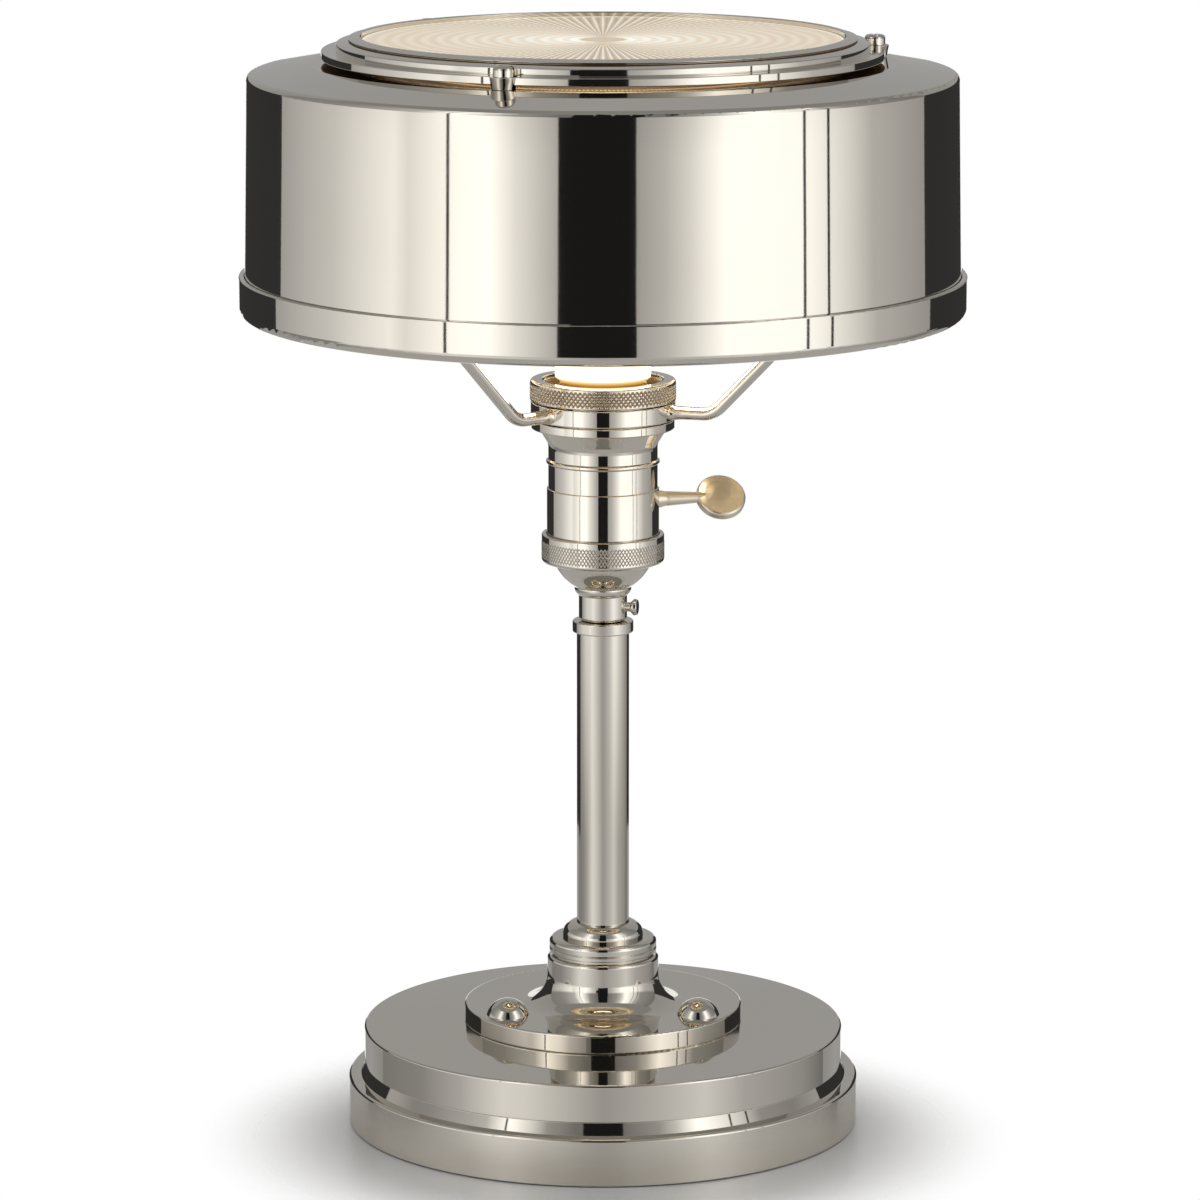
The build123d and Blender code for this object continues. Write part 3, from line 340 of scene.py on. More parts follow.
def capped_shape(grid, normals):
    """Closed shape from a grid whose first and last rows are each one point, or pole."""
    rows, columns = grid.shape[0] - 2, grid.shape[1]
    near = np.arange(columns)
    far = near + (rows - 1) * columns
    low_pole, high_pole = np.full(columns, rows * columns), np.full(columns, rows * columns + 1)
    low_fan = np.stack([low_pole, np.roll(near, -1), near], 1)
    high_fan = np.stack([far, np.roll(far, -1), high_pole], 1)

    def packed(values):
        return np.vstack([values[1:-1].reshape(-1, 3), values[0, :1], values[-1, :1]])

    return Shape(packed(grid), packed(normals), [grid_faces(rows, columns), low_fan, high_fan])


def turned_ring(corners, columns=240, steps=6):
    """Ring turned on a lathe: a closed outline carried round the axis."""
    points, normals = outline(corners, steps)
    return ring_shape(spun(points, columns), spun(normals, columns))


def turned_solid(corners, columns=96, steps=8):
    """Solid turned on a lathe: an open outline, from one point on the axis to another, carried round it."""
    points, normals = outline(corners, steps, closed=False)
    return capped_shape(spun(points, columns), spun(normals, columns))


def grid_normals(grid):
    """Normals of a grid that joins up along its rows: the cross product of its two directions at each point."""
    along = np.roll(grid, -1, 1) - np.roll(grid, 1, 1)
    across = np.gradient(grid, axis=0)
    normals = np.cross(along, across)
    return normals / np.maximum(np.linalg.norm(normals, axis=2, keepdims=True), 1e-12)


def knurled_ring(corners, low, high, count, rise, depth, slope, samples=10):
    """Turned ring whose outer wall carries a diamond knurl between two heights, and the knurl's relief, 0 to 1.

    Two families of grooves climb the wall, one each way. Family u is count * t / 2 pi + z / rise and family v has
    minus for plus. A diamond stands where u and v are both halfway between grooves: its height is slope times
    the smaller of 1 - |2 frac(u) - 1| and the same of v, cut off flat at 1. It runs out at both ends.
    """
    points, normals = outline(corners, steps=5)
    radius = points[:, 0].max()
    heights = np.linspace(low, high, int((high - low) / rise * 2 * samples))
    below = np.flatnonzero((points[:, 0] > radius - 1e-6) & (points[:, 1] < low)).max()
    wall = np.stack([np.full_like(heights, radius), heights], 1)
    points = np.insert(points, [below + 1] * len(heights), wall, 0)
    normals = np.insert(normals, [below + 1] * len(heights), (1.0, 0.0), 0)
    columns = count * samples
    grid, facing = spun(points, columns), spun(normals, columns)
    knurl_rows = slice(below + 1, below + 1 + len(heights))
    turn = np.arange(columns) / samples
    climb = heights[:, None] / rise
    ridges = [1 - np.abs(2 * np.mod(turn + way * climb, 1) - 1) for way in (1, -1)]
    runout = np.clip(np.minimum(heights - low, high - heights) / (0.3 * rise), 0, 1)[:, None]
    sunk = (1 - np.minimum(slope * np.minimum(*ridges), 1)) * runout
    grid[knurl_rows] -= depth * sunk[..., None] * facing[knurl_rows]
    carved = np.zeros(grid.shape[:2])
    carved[knurl_rows] = sunk
    facing = np.where(carved[..., None] > 0, grid_normals(grid), facing)
    return ring_shape(grid, facing), 1 - carved.ravel()


def placed(shape, origin, side, axis):
    """Move a shape from the lamp's axis to a point: its x axis turns to side and its z axis to axis."""
    turn = np.stack([side, np.cross(axis, side), axis])
    return Shape(shape.vertices @ turn + origin, shape.normals @ turn, shape.faces)


def joined(shapes):
    """Several shapes as one, with their faces renumbered."""
    starts = np.cumsum([0] + [len(shape.vertices) for shape in shapes])
    faces = [face + start for shape, start in zip(shapes, starts) for face in shape.faces]
    return Shape(np.vstack([s.vertices for s in shapes]), np.vstack([s.normals for s in shapes]), faces)


def spoke(azimuth):
    """Level unit vectors outwards and sideways, to the left, at an azimuth."""
    turn = np.radians(azimuth)
    return np.array([np.cos(turn), np.sin(turn), 0]), np.array([-np.sin(turn), np.cos(turn), 0])


def around(shape, count, azimuth):
    """Copies of a shape that lies along +X, at equal steps round the axis."""
    turns = [spoke(azimuth + 360 * step / count) for step in range(count)]
    return joined([placed(shape, np.zeros(3), outwards, up) for outwards, _ in turns])


def piece(name, shape, body, slot, *stood_for, finish=None, values=None):
    """New piece of the lamp from a shape in mm; it rides on a body and stands for CAD nodes."""
    mesh = bpy.data.meshes.new(name)
    faces = [corner for face in shape.faces for corner in face.tolist()]
    mesh.from_pydata((shape.vertices * mm).tolist(), [], faces)
    mesh.shade_smooth()
    mesh.normals_split_custom_set_from_vertices(shape.normals.tolist())
    if values is not None:
        attribute = mesh.attributes.new("relief", "FLOAT", "POINT")
        attribute.data.foreach_set("value", values.astype(np.float32))
    mesh.materials.append(finish or finishes[slot])
    made = bpy.data.objects.new(name, mesh)
    scene.collection.objects.link(made)
    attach(made, body)
    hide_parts(*stood_for)
    return made


low, high, wide = {}, {}, {}  # each CAD node's lowest and highest point, and its reach along +X, in mm
for node in nodes:
    lowest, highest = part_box(node)
    low[node], high[node], wide[node] = lowest.z / mm, highest.z / mm, highest.x / mm
up = np.array([0, 0, 1.0])

# Felt pad under the base
pad_edge = 0.5
pad_radius = wide["base_pad"]
pad_corners = [(0, low["base_pad"], 0), (pad_radius, low["base_pad"], pad_edge)]
pad_corners += [(pad_radius, high["base_pad"], pad_edge), (0, high["base_pad"], 0)]
felt_pad = piece("felt_pad", turned_solid(pad_corners, 240), "stand", "felt", "base_pad")

# Base casting: two tiers with a cove between them
pipe_hole = 5.05
base_radius = wide["base_shell"]
base_foot = low["base_shell"]
base_lip = 1.0
base_wall = 2.5
ledge_height = 14.6
ledge_round = 0.9
cove_foot_radius = 73.7
cove_radius = 72.0
cove_top = 18.3
tier_radius = 72.7
tier_round = 0.7
tier_edge = 29.7
cavity_radius = 69.6
cavity_top = 27.2
flange_radius = wide["stem_flange"]
base_corners = [
    (pipe_hole, cavity_top, 0),
    (cavity_radius, cavity_top, 0),
    (cavity_radius, ledge_height - base_wall, 0),
    (base_radius - base_wall, ledge_height - base_wall, 0),
    (base_radius - base_wall, high["base_pad"], 0),
    (base_radius - base_lip, high["base_pad"], 0),
    (base_radius - base_lip, base_foot, 0),
    (base_radius, base_foot, 0.2),
    (base_radius, ledge_height, ledge_round),
    (cove_foot_radius, ledge_height, 0.2),
    (cove_radius, cove_top, 0.2),
    (tier_radius, cove_top, 0.3),
    (tier_radius, tier_edge, tier_round),
    (flange_radius, high["base_shell"], 0),
    (pipe_hole, high["base_shell"], 0),
]
piece("turned_base", turned_ring(base_corners, 480, 8), "stand", "polished_nickel", "base_shell")

# Collar on the boss: a plain ring with a fine line cut near its foot
collar_radius = wide["collar_ring"]
collar_bore = 7.99
collar_round = 1.6
collar_groove = 0.8
collar_line = 0.3
collar_line_height = 2.3
collar_foot = low["collar_ring"]
line_foot = collar_foot + collar_line_height
collar_corners = [
    (collar_bore, collar_foot, 0),
    (collar_radius - collar_groove, collar_foot, 0),
    (collar_radius - collar_groove, collar_foot + collar_groove, 0),
    (collar_radius, collar_foot + collar_groove, 0.3),
    (collar_radius, line_foot - collar_line, 0.2),
    (collar_radius - collar_line, line_foot, 0.1),
    (collar_radius, line_foot + collar_line, 0.2),
    (collar_radius, high["collar_ring"], collar_round),
    (collar_bore, high["collar_ring"], 0),
]
piece("lined_collar", turned_ring(collar_corners, 240, 8), "stand", "polished_nickel", "collar_ring")

# Socket cap: neck, shoulder, bowl and a band with a knurl under a plain lip
neck_radius = 7.3
neck_round = 1.2
neck_height = 7.8
shoulder_radius = 8.6
shoulder_height = 2.5
shoulder_bulge = 0.4
bowl_radius = 14.9
bowl_height = 7.7
bowl_bulge = 0.8
band_radius = wide["socket_cap"]
band_bore = 17.13
band_round = 1.1
band_lip_round = 0.5
band_knurl_foot = 1.2
band_knurl_height = 5.6
knurl_rise = 1.7
knurl_depth = 0.40
band_knurl_count = 104
band_knurl_depth = 0.26
band_knurl_slope = 3.2
band_knurl_samples = 8
cap_foot = low["socket_cap"]
cap_floor = low["socket_shell"]


def bulged(start, end, bulge):
    """Corner and rounding that carry an outline from start to end on a shallow arc, bulging to the right."""
    start, end = np.array(start), np.array(end)
    chord = end - start
    length = np.linalg.norm(chord)
    outwards = np.array([chord[1], -chord[0]]) / length
    radius = (length**2 / 4 + bulge**2) / (2 * bulge)
    rise = length / 2 * np.tan(np.arcsin(length / 2 / radius))
    return (*((start + end) / 2 + outwards * rise), 0.98 * radius)


neck_end = (neck_radius + 0.05, cap_foot + neck_height)
shoulder_end = (shoulder_radius, cap_foot + neck_height + shoulder_height)
band_foot = shoulder_end[1] + bowl_height
cap_corners = [
    (pipe_hole, cap_foot, 0),
    (neck_radius, cap_foot, neck_round),
    (neck_radius, neck_end[1] - 0.05, 0),
    bulged(neck_end, shoulder_end, shoulder_bulge),
    (*shoulder_end, 0),
    bulged(shoulder_end, (bowl_radius, band_foot), bowl_bulge),
    (bowl_radius, band_foot, 0),
    (band_radius, band_foot, band_round),
    (band_radius, high["socket_cap"], band_lip_round),
    (band_bore, high["socket_cap"], 0),
    (band_bore, cap_floor, 0),
    (pipe_hole, cap_floor, 0),
]
knurl_foot = band_foot + band_knurl_foot
cap_shape, cap_relief = knurled_ring(
    cap_corners,
    knurl_foot,
    knurl_foot + band_knurl_height,
    band_knurl_count,
    knurl_rise,
    band_knurl_depth,
    band_knurl_slope,
    band_knurl_samples,
)
knurled = knurled_nickel("knurled_nickel")
piece("socket_cap_knurled", cap_shape, "stand", "polished_nickel", "socket_cap", finish=knurled, values=cap_relief)

# Lock ring: a knurl between two plain edges
lock_bore = 18.06
lock_radius = wide["lock_ring"]
lock_edge = 0.4
lock_bevel = 0.8
lock_knurl_count = 95
lock_knurl_slope = 1.7
lock_knurl_margin = 0.1  # plain strip between the knurl and each edge
lock_corners = [
    (lock_bore, low["lock_ring"], 0),
    (lock_radius, low["lock_ring"], lock_edge),
    (lock_radius, high["lock_ring"], lock_bevel),
    (lock_bore, high["lock_ring"], 0.3),
]
lock_shape, lock_relief = knurled_ring(
    lock_corners,
    low["lock_ring"] + lock_edge + lock_knurl_margin,
    high["lock_ring"] - lock_bevel - lock_knurl_margin,
    lock_knurl_count,
    knurl_rise,
    knurl_depth,
    lock_knurl_slope,
)
piece("lock_ring_knurled", lock_shape, "clamp", "polished_nickel", "lock_ring", finish=knurled, values=lock_relief)

# Shade arms: level out of the fitter ring, round a bend, and up to the feet
arm_count = 3
arm_azimuth = 102.0
arm_radius = 1.95
arm_level = 12.65
arm_bend = 8.0
arm_sides = 40
arm_embed = 0.4  # how deep the rod starts in the fitter ring
braze_flare = 0.55
braze_length = 1.5
braze_lumps = 0.16
foot_reach = 105.0  # to the outer face of a foot
foot_inset = 1.3


def arm_shape():
    """Rod along a path in the plane of +X and +Z: a level run, an arc and a climb.

    At heading h the rod's ring is centre + radius * (cos a * (-sin h, 0, cos h) + sin a * (0, -1, 0)). Its radius
    swells by flare * exp(-distance / length) towards the fitter ring, with the lumps of a brazed joint.
    """
    ring_edge = wide["fitter_ring"]
    level = (low["fitter_ring"] + high["fitter_ring"]) / 2
    corner = np.array([ring_edge + arm_level, level])
    foot_height = (low["arm_feet"] + high["arm_feet"]) / 2
    aim = np.array([foot_reach, foot_height])
    climb = np.arctan2(aim[1] - corner[1], aim[0] - corner[0])
    foot = corner + (aim - corner) * (foot_reach - foot_inset - corner[0]) / (foot_reach - corner[0])
    cut = arm_bend * np.tan(climb / 2)
    run = np.linspace(ring_edge - arm_embed, corner[0] - cut, 40)
    heading = np.linspace(0, climb, 24)[1:]
    rise = np.array([np.cos(climb), np.sin(climb)])
    bend_end = corner + cut * rise
    share = np.linspace(0, 1, 30)[1:, None]
    centre = np.vstack([
        np.stack([run, np.full_like(run, level)], 1),
        np.stack([run[-1] + arm_bend * np.sin(heading), level + arm_bend * (1 - np.cos(heading))], 1),
        bend_end + share * (foot - bend_end),
    ])
    heading = np.concatenate([np.zeros(len(run)), heading, np.full(len(share), climb)])
    distance = np.maximum(centre[:, 0] - ring_edge, 0)
    turn = 2 * np.pi * np.arange(arm_sides) / arm_sides
    swell = np.exp(-distance / braze_length)[:, None]
    lumps = braze_lumps * np.sin(3 * turn + 1.0) * np.sin(2 * distance[:, None] + 0.5 * turn)
    radius = arm_radius + swell * (braze_flare + lumps)
    zero = np.zeros_like(heading)
    normal = np.stack([-np.sin(heading), zero, np.cos(heading)], 1)
    facing = np.cos(turn)[:, None] * normal[:, None] + np.sin(turn)[:, None] * np.array([0, -1.0, 0])
    middle = np.stack([centre[:, 0], zero, centre[:, 1]], 1)[:, None]
    grid = middle + radius[..., None] * facing
    ends = [np.broadcast_to(middle[end], (1, arm_sides, 3)) for end in (0, -1)]
    grid = np.vstack([ends[0], grid, ends[1]])
    along = np.stack([np.cos(heading), zero, np.sin(heading)], 1)[:, None]
    caps = [np.broadcast_to(sign * along[end], (1, arm_sides, 3)) for sign, end in ((-1, 0), (1, -1))]
    facing = np.vstack([caps[0], facing, caps[1]])
    facing[1:1 + len(run)] = grid_normals(grid)[1:1 + len(run)]
    return capped_shape(grid, facing)


piece("brazed_arms", around(arm_shape(), arm_count, arm_azimuth), "shade", "polished_nickel", "shade_arms")

# Lens frame: a stepped ring over the vent gap, on three tapered bosses
vent_gap = 1.6
vent_lip = 0.3  # the plate's edge hangs this far into the gap
plate_radius = 83.4
plate_thickness = 2.1
step_radius = 79.0
step_height = 2.1
step_rise = 1.0
bezel_radius = 75.6
bezel_wall = 0.5
bezel_undercut = 0.6
bezel_lip_radius = 73.0
bezel_bore = 71.8
lip_thickness = 2.0
seat_radius = 73.5
frame_edge = 0.3
boss_count = 3
boss_azimuth = 10.0
boss_circle = 82.3
boss_top_radius = 4.25
boss_foot_radius = 3.5
frame_foot = low["lens_frame"] + vent_gap
plate_top = frame_foot + plate_thickness
step_top = plate_top + step_height
bezel_foot = step_top + step_rise
frame_top = high["lens_frame"]
lip_foot = frame_top - lip_thickness
frame_corners = [
    (seat_radius, frame_foot, 0),
    (step_radius, frame_foot, 0),
    (step_radius, frame_foot - vent_lip, 0),
    (plate_radius, frame_foot - vent_lip, frame_edge),
    (plate_radius, plate_top, frame_edge),
    (step_radius, plate_top, 0.1),
    (step_radius, step_top, frame_edge),
    (bezel_radius - bezel_undercut, bezel_foot, 0),
    (bezel_radius, bezel_foot + bezel_wall, 0.15),
    (bezel_lip_radius, frame_top, 1.2),
    (bezel_bore, frame_top, frame_edge),
    (bezel_bore, lip_foot, 0),
    (seat_radius, lip_foot, 0),
]
boss_corners = [
    (0, low["lens_frame"], 0),
    (boss_foot_radius, low["lens_frame"], 0.2),
    (boss_top_radius, plate_top, frame_edge),
    (0, plate_top, 0),
]
boss = placed(turned_solid(boss_corners), np.array([boss_circle, 0, 0]), spoke(0)[0], up)
frame_shape = joined([turned_ring(frame_corners, 360), around(boss, boss_count, boss_azimuth)])
# The frame's downward faces, under its plate in the vent gap, under the bezel's undercut and under the lip, are
# dark brown: painted shade.
painted_gap_shade = (0.26, 0.17, 0.09, 1)
frame_nickel = backed_nickel("frame_nickel", painted_gap_shade, satin=0.6, outwards=0.0, lift=1.0, limit=-0.5)
piece("stepped_frame", frame_shape, "shade", "polished_nickel", "lens_frame", finish=frame_nickel)

# Pressed lens: a disc whose raised middle is all small prisms, around a plain eye
lens_shoulder = 3.0
lens_round = 0.2
crown_radius = 69.8
crown_top_radius = 71.6
crown_step = 0.53  # height of the crown's neck, inside the gasket
crown_round = 0.4
flute_count = 144
flute_samples = 6
face_rows_count = 88  # rows of points from the rim of the top to the eye
flute_depth = 0.36
ring_pitch = 4.4
ring_depth = 0.04
eye_radius = 5.5
eye_fade = 2.0
eye_row = 0.4  # radius of the innermost row of points
rim_fade = 0.8
# ring of painted glints on the underside
glint_reach = (55.5, 57.5)  # ring of bright dots on the underside


def lens_shape():
    """Turned disc with relief on top, and a tone for each of its points: 0 to 0.4 below, 0.5 to 1 on top.

    The top is sunk by flute_depth * (1 - cos(count * t)) / 2 + ring_depth * (1 - cos(2 pi r / pitch)) / 2. Both
    fade out at the eye and at the rim. The tones are painted light: higher on the prisms than in the grooves,
    painted highlights; dark on the lower faces, painted shade; and two painted glints, bright dots, for each flute
    on a ring.
    """
    foot, top = low["lens_glass"], high["lens_glass"]
    neck_foot = foot + lens_shoulder
    corners = [
        (0, foot, 0),
        (wide["lens_glass"], foot, lens_round),
        (wide["lens_glass"], neck_foot, lens_round),
        (crown_radius, neck_foot, 0),
        (crown_radius, neck_foot + crown_step, 0),
        (crown_top_radius, neck_foot + crown_step, 0),
        (crown_top_radius, top, crown_round),
        (0, top, 0),
    ]
    points, normals = outline(corners, steps=3, closed=False)
    below = np.array([eye_row, glint_reach[0] - 0.5, *glint_reach, glint_reach[1] + 0.5])
    above = np.linspace(crown_top_radius - crown_round - 0.1, eye_row, face_rows_count)
    floor_rows = np.stack([below, np.full_like(below, foot)], 1)
    face_rows = np.stack([above, np.full_like(above, top)], 1)
    points = np.vstack([points[:1], floor_rows, points[1:-1], face_rows, points[-1:]])
    down, level = np.tile((0.0, -1.0), (len(below), 1)), np.tile((0.0, 1.0), (len(above), 1))
    normals = np.vstack([normals[:1], down, normals[1:-1], level, normals[-1:]])
    columns = flute_count * flute_samples
    grid, facing = spun(points, columns), spun(normals, columns)
    wave = (1 - np.cos(2 * np.pi * np.arange(columns) / flute_samples)) / 2
    reach = above[:, None]
    rings = ring_depth * (1 - np.cos(2 * np.pi * reach / ring_pitch)) / 2
    at_eye = np.clip((reach - eye_radius) / eye_fade, 0, 1)
    at_rim = np.clip((reach.max() - reach) / rim_fade, 0, 1)
    sunk = (flute_depth * wave + rings) * at_eye * at_rim
    rows = slice(len(points) - 1 - len(above), len(points) - 1)
    grid[rows, :, 2] -= sunk
    facing[rows] = grid_normals(grid)[rows]
    tone = np.full(grid.shape[:2], 0.75)
    tone[rows] = 1 - 0.5 * sunk / (flute_depth + ring_depth)
    tone[rows] += (0.8 - tone[rows]) * (1 - at_eye)
    # painted shade on the lens's lower faces, then painted glints on the underside's ring
    tone[grid[..., 2] < neck_foot] = 0.0
    tone[3:5] = 0.2 * (1 - np.cos(4 * np.pi * np.arange(columns) / flute_samples))
    shape = capped_shape(grid, facing)
    return shape, np.concatenate([tone[1:-1].ravel(), tone[0, :1], tone[-1, :1]])


prisms, prism_relief = lens_shape()
piece("prism_lens", prisms, "shade", "pressed_glass", "lens_glass", finish=prism_glow(), values=prism_relief)

# Switch key: a shaft with a flared collar, a taper and a round paddle across its end
key_azimuth = 12.0
key_height = 191.0
key_inner_end = -4.5
key_shaft_radius = 2.2
key_collar_radius = 3.0
key_collar = (16.2, 19.2)
key_taper = (20.0, 28.8)
key_tip_radius = 1.65
paddle_radius = 7.5
paddle_thickness = 4.0
paddle_round = 1.0
paddle_dome = 0.9
paddle_tilt = 45.0
paddle_centre = key_taper[1] + paddle_radius
key_out, key_side = spoke(key_azimuth)
key_origin = np.array([0, 0, key_height])
shaft_corners = [
    (0, key_inner_end, 0),
    (key_shaft_radius, key_inner_end, 0.2),
    (key_shaft_radius, key_collar[0] - 0.5, 0.2),
    (key_collar_radius, key_collar[0], 0.4),
    (key_shaft_radius, key_collar[1], 2.0),
    (key_shaft_radius, key_taper[0], 1.0),
    (key_tip_radius, key_taper[1], 1.0),
    (key_tip_radius, paddle_centre, 0.2),
    (0, paddle_centre, 0),
]
half = paddle_thickness / 2
paddle_corners = [
    (0, -half, 0),
    (paddle_radius, -half, paddle_round),
    (paddle_radius, half - paddle_dome, paddle_round),
    (0.7 * paddle_radius, half - 0.49 * paddle_dome, 8.0),
    (0.35 * paddle_radius, half - 0.12 * paddle_dome, 8.0),
    (0, half, 0),
]
tilt = np.radians(paddle_tilt)
paddle_facing = np.cos(tilt) * -key_side + np.sin(tilt) * up
key_shape = joined([
    placed(turned_solid(shaft_corners, 64), key_origin, up, key_out),
    placed(turned_solid(paddle_corners, 120), key_origin + paddle_centre * key_out, key_out, paddle_facing),
])
key_nickel = nickel("key_nickel", roughness=(0.26, 0.36), dark=(0.88, 0.79, 0.63), light=(0.92, 0.84, 0.70))
piece("turn_key", key_shape, "key", "polished_nickel", "switch_key", finish=key_nickel)

# Set screw in the cap's neck: a thin mushroom head on a flared shank
set_screw_azimuth = -12.0
set_screw_height = 4.2
set_screw_shank = 1.4
set_screw_head = 2.55
set_screw_reach = (pipe_hole, 8.4, 9.6, 10.7)
set_screw_corners = [
    (0, set_screw_reach[0], 0),
    (set_screw_shank, set_screw_reach[0], 0.1),
    (set_screw_shank, set_screw_reach[1], 0.6),
    (set_screw_head, set_screw_reach[2], 0.4),
    (set_screw_head * 0.94, set_screw_reach[3], 0.5),
    (0, set_screw_reach[3], 0),
]
set_screw_shape = placed(
    turned_solid(set_screw_corners, 48),
    np.array([0, 0, cap_foot + set_screw_height]),
    up,
    spoke(set_screw_azimuth)[0],
)
piece("neck_set_screw", set_screw_shape, "stand", "polished_nickel", "cap_set_screw")


# Studio

def light_path(tree):
    """1 for camera, glossy and transmission rays, which see the white ground; 0 for rays that light the lamp."""
    path = tree.nodes.new("ShaderNodeLightPath")
    total = path.outputs["Is Camera Ray"]
    for ray in ("Is Glossy Ray", "Is Transmission Ray"):
        larger = tree.nodes.new("ShaderNodeMath")
        larger.operation = "MAXIMUM"
        tree.links.new(total, larger.inputs[0])
        tree.links.new(path.outputs[ray], larger.inputs[1])
        total = larger.outputs["Value"]
    return total


def stage_sheet(name, points, finish, seen=False):
    """Stage piece from a grid of points in metres, with a UV map that runs 0 to 1 along rows and columns."""
    rows, columns = points.shape[:2]
    quads = grid_faces(rows, columns, join_columns=False)
    mesh = bpy.data.meshes.new(name)
    mesh.from_pydata(points.reshape(-1, 3).tolist(), [], quads.tolist())
    along, across = np.meshgrid(np.linspace(0, 1, columns), np.linspace(0, 1, rows))
    corners = np.stack([along, across], -1).reshape(-1, 2)[quads.ravel()]
    mesh.uv_layers.new(name="UVMap").data.foreach_set("uv", corners.astype(np.float32).ravel())
    mesh.materials.append(finish)
    mesh.shade_smooth()
    made = bpy.data.objects.new(name, mesh)
    scene.collection.objects.link(made)
    made.visible_camera = seen
    return made


def wall(name, bearings, radius, heights, finish):
    """Upright card on a circle round the lamp: x = radius sin(bearing), y = -radius cos(bearing)."""
    bearing, height = np.meshgrid(np.radians(np.linspace(*bearings, 61)), np.linspace(*heights, 9))
    points = np.stack([radius * np.sin(bearing), -radius * np.cos(bearing), height], -1)
    return stage_sheet(name, points, finish)


def disc(centre, radius):
    """Level disc: rows of points on circles from its centre out to its radius."""
    angle, reach = np.meshgrid(np.linspace(0, 2 * np.pi, 97), np.linspace(0, radius, 33))
    return centre + np.stack([reach * np.cos(angle), reach * np.sin(angle), np.zeros_like(reach)], -1)


def lamp_finish(name, *stops, foot_stops=None, foot_parts=(0.0, 1.0)):
    """Emission that changes along a card's first UV coordinate: each stop is (position, radiance).

    With foot_stops the radiance goes over from them to the stops between two parts of the card's height.
    """
    made = bpy.data.materials.new(name)
    made.use_nodes = True
    tree = made.node_tree
    tree.nodes.clear()
    place = tree.nodes.new("ShaderNodeUVMap")
    split = tree.nodes.new("ShaderNodeSeparateXYZ")
    tree.links.new(place.outputs["UV"], split.inputs["Vector"])
    top = max(radiance for _, radiance in (*stops, *(foot_stops or ())))

    def shade(rows):
        return ramp(tree, split.outputs["X"], *[(position, (radiance / top,) * 3) for position, radiance in rows])

    colour = shade(stops)
    if foot_stops:
        mix = tree.nodes.new("ShaderNodeMix")
        mix.data_type = "RGBA"
        share = span(tree, split.outputs["Y"], 0.0, 1.0)
        share.node.inputs["From Min"].default_value = foot_parts[0]
        share.node.inputs["From Max"].default_value = foot_parts[1]
        tree.links.new(share, mix.inputs["Factor"])
        tree.links.new(shade(foot_stops), mix.inputs["A"])
        tree.links.new(colour, mix.inputs["B"])
        colour = mix.outputs["Result"]
    glow = tree.nodes.new("ShaderNodeEmission")
    glow.inputs["Strength"].default_value = top
    tree.links.new(colour, glow.inputs["Color"])
    end = tree.nodes.new("ShaderNodeOutputMaterial")
    tree.links.new(glow.outputs["Emission"], end.inputs["Surface"])
    return made


def even_finish(name, radiance):
    """Emission that is the same all over a card."""
    return lamp_finish(name, (0.0, radiance), (1.0, radiance))


def floor_finish(name, colour, centre, inner, outer):
    """Pale floor with a low gloss that thins out to nothing between two radii about a centre."""
    made, tree, shader = material(name, Base_Color=colour, Roughness=0.3)
    place = tree.nodes.new("ShaderNodeTexCoord")
    length = tree.nodes.new("ShaderNodeVectorMath")
    length.operation = "DISTANCE"
    length.inputs[1].default_value = centre
    tree.links.new(place.outputs["Object"], length.inputs[0])
    fade = tree.nodes.new("ShaderNodeMapRange")
    fade.interpolation_type = "SMOOTHSTEP"
    fade.inputs["From Min"].default_value = inner
    fade.inputs["From Max"].default_value = outer
    tree.links.new(length.outputs["Value"], fade.inputs["Value"])
    clear = tree.nodes.new("ShaderNodeBsdfTransparent")
    mix = tree.nodes.new("ShaderNodeMixShader")
    tree.links.new(fade.outputs["Result"], mix.inputs["Fac"])
    tree.links.new(shader.outputs["BSDF"], mix.inputs[1])
    tree.links.new(clear.outputs["BSDF"], mix.inputs[2])
    tree.links.new(mix.outputs["Shader"], tree.nodes["Material Output"].inputs["Surface"])
    return made


card_radius = 1.30
card_split = -0.080  # below this height the cards show the stem a softer pattern
high_part = (card_split, 1.6)
low_part = (-0.6, card_split)
flag_top = 0.42
flag_foot = -0.215  # the stem mirrors the cloth above this height, and the base mirrors grey below it
high_left = (
    (0.0, 0.43), (0.27, 0.72), (0.50, 1.17), (0.55, 0.97), (0.70, 1.4), (0.80, 1.5), (0.88, 1.0), (1.0, 0.54)
)
high_right = (
    (0.0, 0.44), (0.08, 0.61), (0.15, 0.9), (0.25, 1.45), (0.48, 1.37), (0.64, 0.89), (0.74, 0.56), (1.0, 0.38)
)
upper_left = (
    (0.0, 0.25), (0.28, 0.31), (0.50, 0.5), (0.58, 0.6), (0.69, 1.5), (0.80, 0.85), (0.87, 0.38), (1.0, 0.2)
)
upper_right = (0.0, 0.2), (0.16, 0.36), (0.24, 0.68), (0.34, 1.5), (0.50, 0.95), (0.64, 0.34), (1.0, 0.2)
turn_over = (0.17, 0.26)  # parts of a card's height between which it goes over to the upper stops
soft_left = lamp_finish("soft_left", *upper_left, foot_stops=high_left, foot_parts=turn_over)
soft_right = lamp_finish("soft_right", *upper_right, foot_stops=high_right, foot_parts=turn_over)
soft_edge = even_finish("soft_edge", 0.5)
dim_edge = even_finish("dim_edge", 0.2)
stem_left = (0.0, 0.28), (0.16, 0.43), (0.38, 0.83), (0.54, 0.90), (0.63, 1.06), (0.78, 0.75), (0.93, 0.46)
stem_right = (0.07, 0.46), (0.22, 0.68), (0.37, 1.10), (0.45, 1.08), (0.62, 0.74), (0.84, 0.41), (1.0, 0.25)
foot_left = (0.0, 0.24), (0.27, 0.30), (0.46, 0.50), (0.63, 0.88), (0.72, 0.84), (0.93, 0.50)
foot_right = (0.07, 0.45), (0.22, 0.58), (0.37, 0.76), (0.54, 0.48), (0.84, 0.33), (1.0, 0.18)


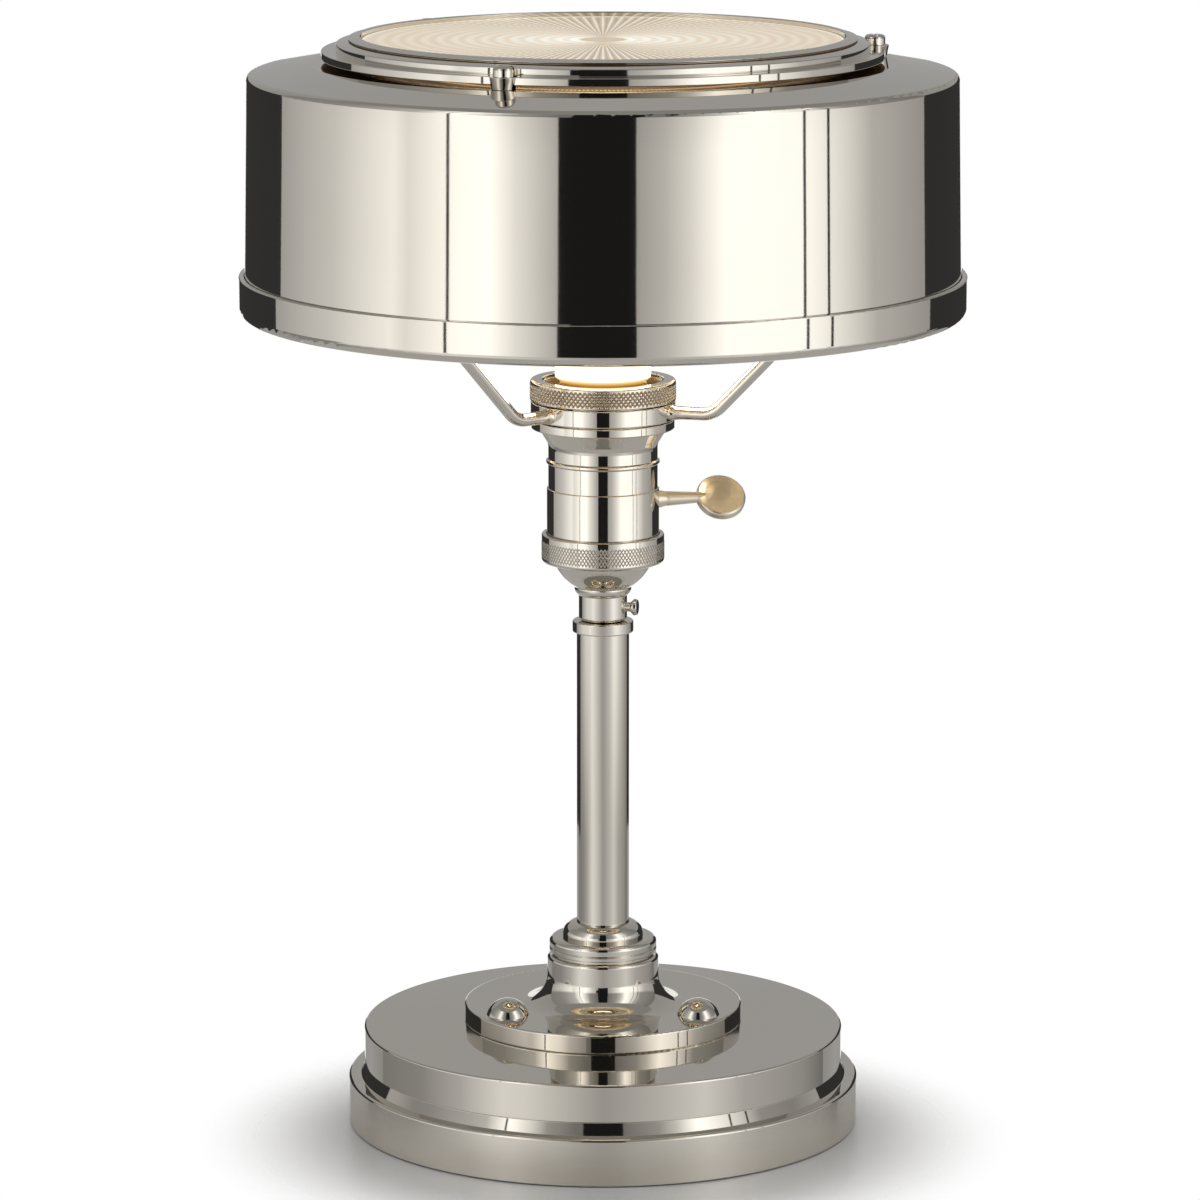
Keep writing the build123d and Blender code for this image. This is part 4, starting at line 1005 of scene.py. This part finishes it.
def both_sides(left, middle, right):
    """Stops of a card that spans both sides: each side's positions run 0 to 1 from its own left end."""
    stops = [(place / 2, radiance) for place, radiance in left] + [(0.5, middle)]
    return stops + [(0.5 + place / 2, radiance) for place, radiance in right]


soft_low = lamp_finish(
    "soft_low",
    *both_sides(stem_left, 0.41, stem_right),
    foot_stops=both_sides(foot_left, 0.40, foot_right),
    foot_parts=(0.73, 0.935),
)
dark = even_finish("dark_cloth", 0.012)
flag_cloth = even_finish("flag_cloth", 0.035)
grey = lamp_finish("grey_ground", (0.0, 0.33), (0.5, 0.38), (1.0, 0.33))
card_end = 120.5  # bearing of the far end of both high cards
gap_overlap = 0.05  # the dark gap stands this far behind the cards and hangs this far below them
low_end = 130
flag_start = 120
flag_end = 165
line_bearings = (-48, 64, 73)
line_half = 0.5
edge_bearings = (-13.6, -9.8)  # strip at the left card's inner end
behind_cards = card_radius + 0.01
flag_part = (flag_foot, card_split)
wall("card_left", (-card_end, -13.5), card_radius, high_part, soft_left)
wall("card_right", (9.9, card_end), card_radius, high_part, soft_right)
wall("card_gap", (-17, 14), card_radius + gap_overlap, (card_split - gap_overlap, high_part[1]), dark)
wall("card_low", (-low_end, low_end), card_radius, low_part, soft_low)
for side, name in ((-1, "left"), (1, "right")):
    low_bearings = (side * flag_end, side * low_end)
    wall("flag_" + name, (side * flag_end, side * flag_start), behind_cards, (card_split, flag_top), flag_cloth)
    wall("flag_low_" + name, low_bearings, behind_cards, flag_part, flag_cloth)
    wall("flag_foot_" + name, low_bearings, behind_cards, (low_part[0], flag_foot), grey)
wall("flag_stem", (-132, -117), card_radius - 0.01, flag_part, flag_cloth)
for bearing in line_bearings:
    line_name = "line_%d" % (bearing % 360)
    wall(line_name, (bearing - line_half, bearing + line_half), card_radius - 0.02, high_part, dark)
wall("edge_low", edge_bearings, card_radius, (card_split, 0.03), soft_edge)
wall("edge_high", edge_bearings, card_radius, (0.25, high_part[1]), dim_edge)
wall("ground_back", (110, 250), 1.65, (0.25, 1.9), grey)

floor_centre = np.array([0, -0.02, 0])
floor_radius = 0.125
floor_solid_radius = 0.070  # the floor is whole inside this radius and thins out beyond it
floor_grey = (0.80, 0.80, 0.80, 1)
floor_look = floor_finish("floor", floor_grey, floor_centre, floor_solid_radius, floor_radius)
stage_sheet("floor", disc(floor_centre, floor_radius), floor_look, seen=True)
ground_low = even_finish("ground_low", 0.45)
stage_sheet("ground_low", disc(np.array([0, 0, low_part[0]]), card_radius), ground_low)
ceiling_height = 1.75
ceiling_radius = 1.6
stage_sheet("ceiling", disc(np.array([0, 0, ceiling_height]), ceiling_radius), even_finish("ceiling", 0.27))

key_light = bpy.data.lights.new("overhead", "AREA")
key_light.shape = "DISK"
key_light.size = 1.1
key_light.energy = 9.0
overhead = bpy.data.objects.new("overhead", key_light)
overhead.location = (0, 0, 1.7)
overhead.visible_glossy = False
scene.collection.objects.link(overhead)

world = bpy.data.worlds.new("ground")
world.use_nodes = True
scene.world = world
sky = world.node_tree.nodes["Background"]
ambient = span(world.node_tree, light_path(world.node_tree), 0.5, 1.0)
world.node_tree.links.new(ambient, sky.inputs["Strength"])
sky.inputs["Color"].default_value = (1, 1, 1, 1)
scene.view_settings.view_transform = "Standard"

# Camera: found from the photograph's ellipses
camera_down = 11.03  # degrees below the level
camera = bpy.data.objects.new("camera", bpy.data.cameras.new("camera"))
camera.data.sensor_width = 36.0
camera.data.lens = 177.97
camera.location = (-0.00089, -1.7530, 0.5024)
camera.rotation_euler = (np.radians(90 - camera_down), 0, 0)
scene.collection.objects.link(camera)
scene.camera = camera
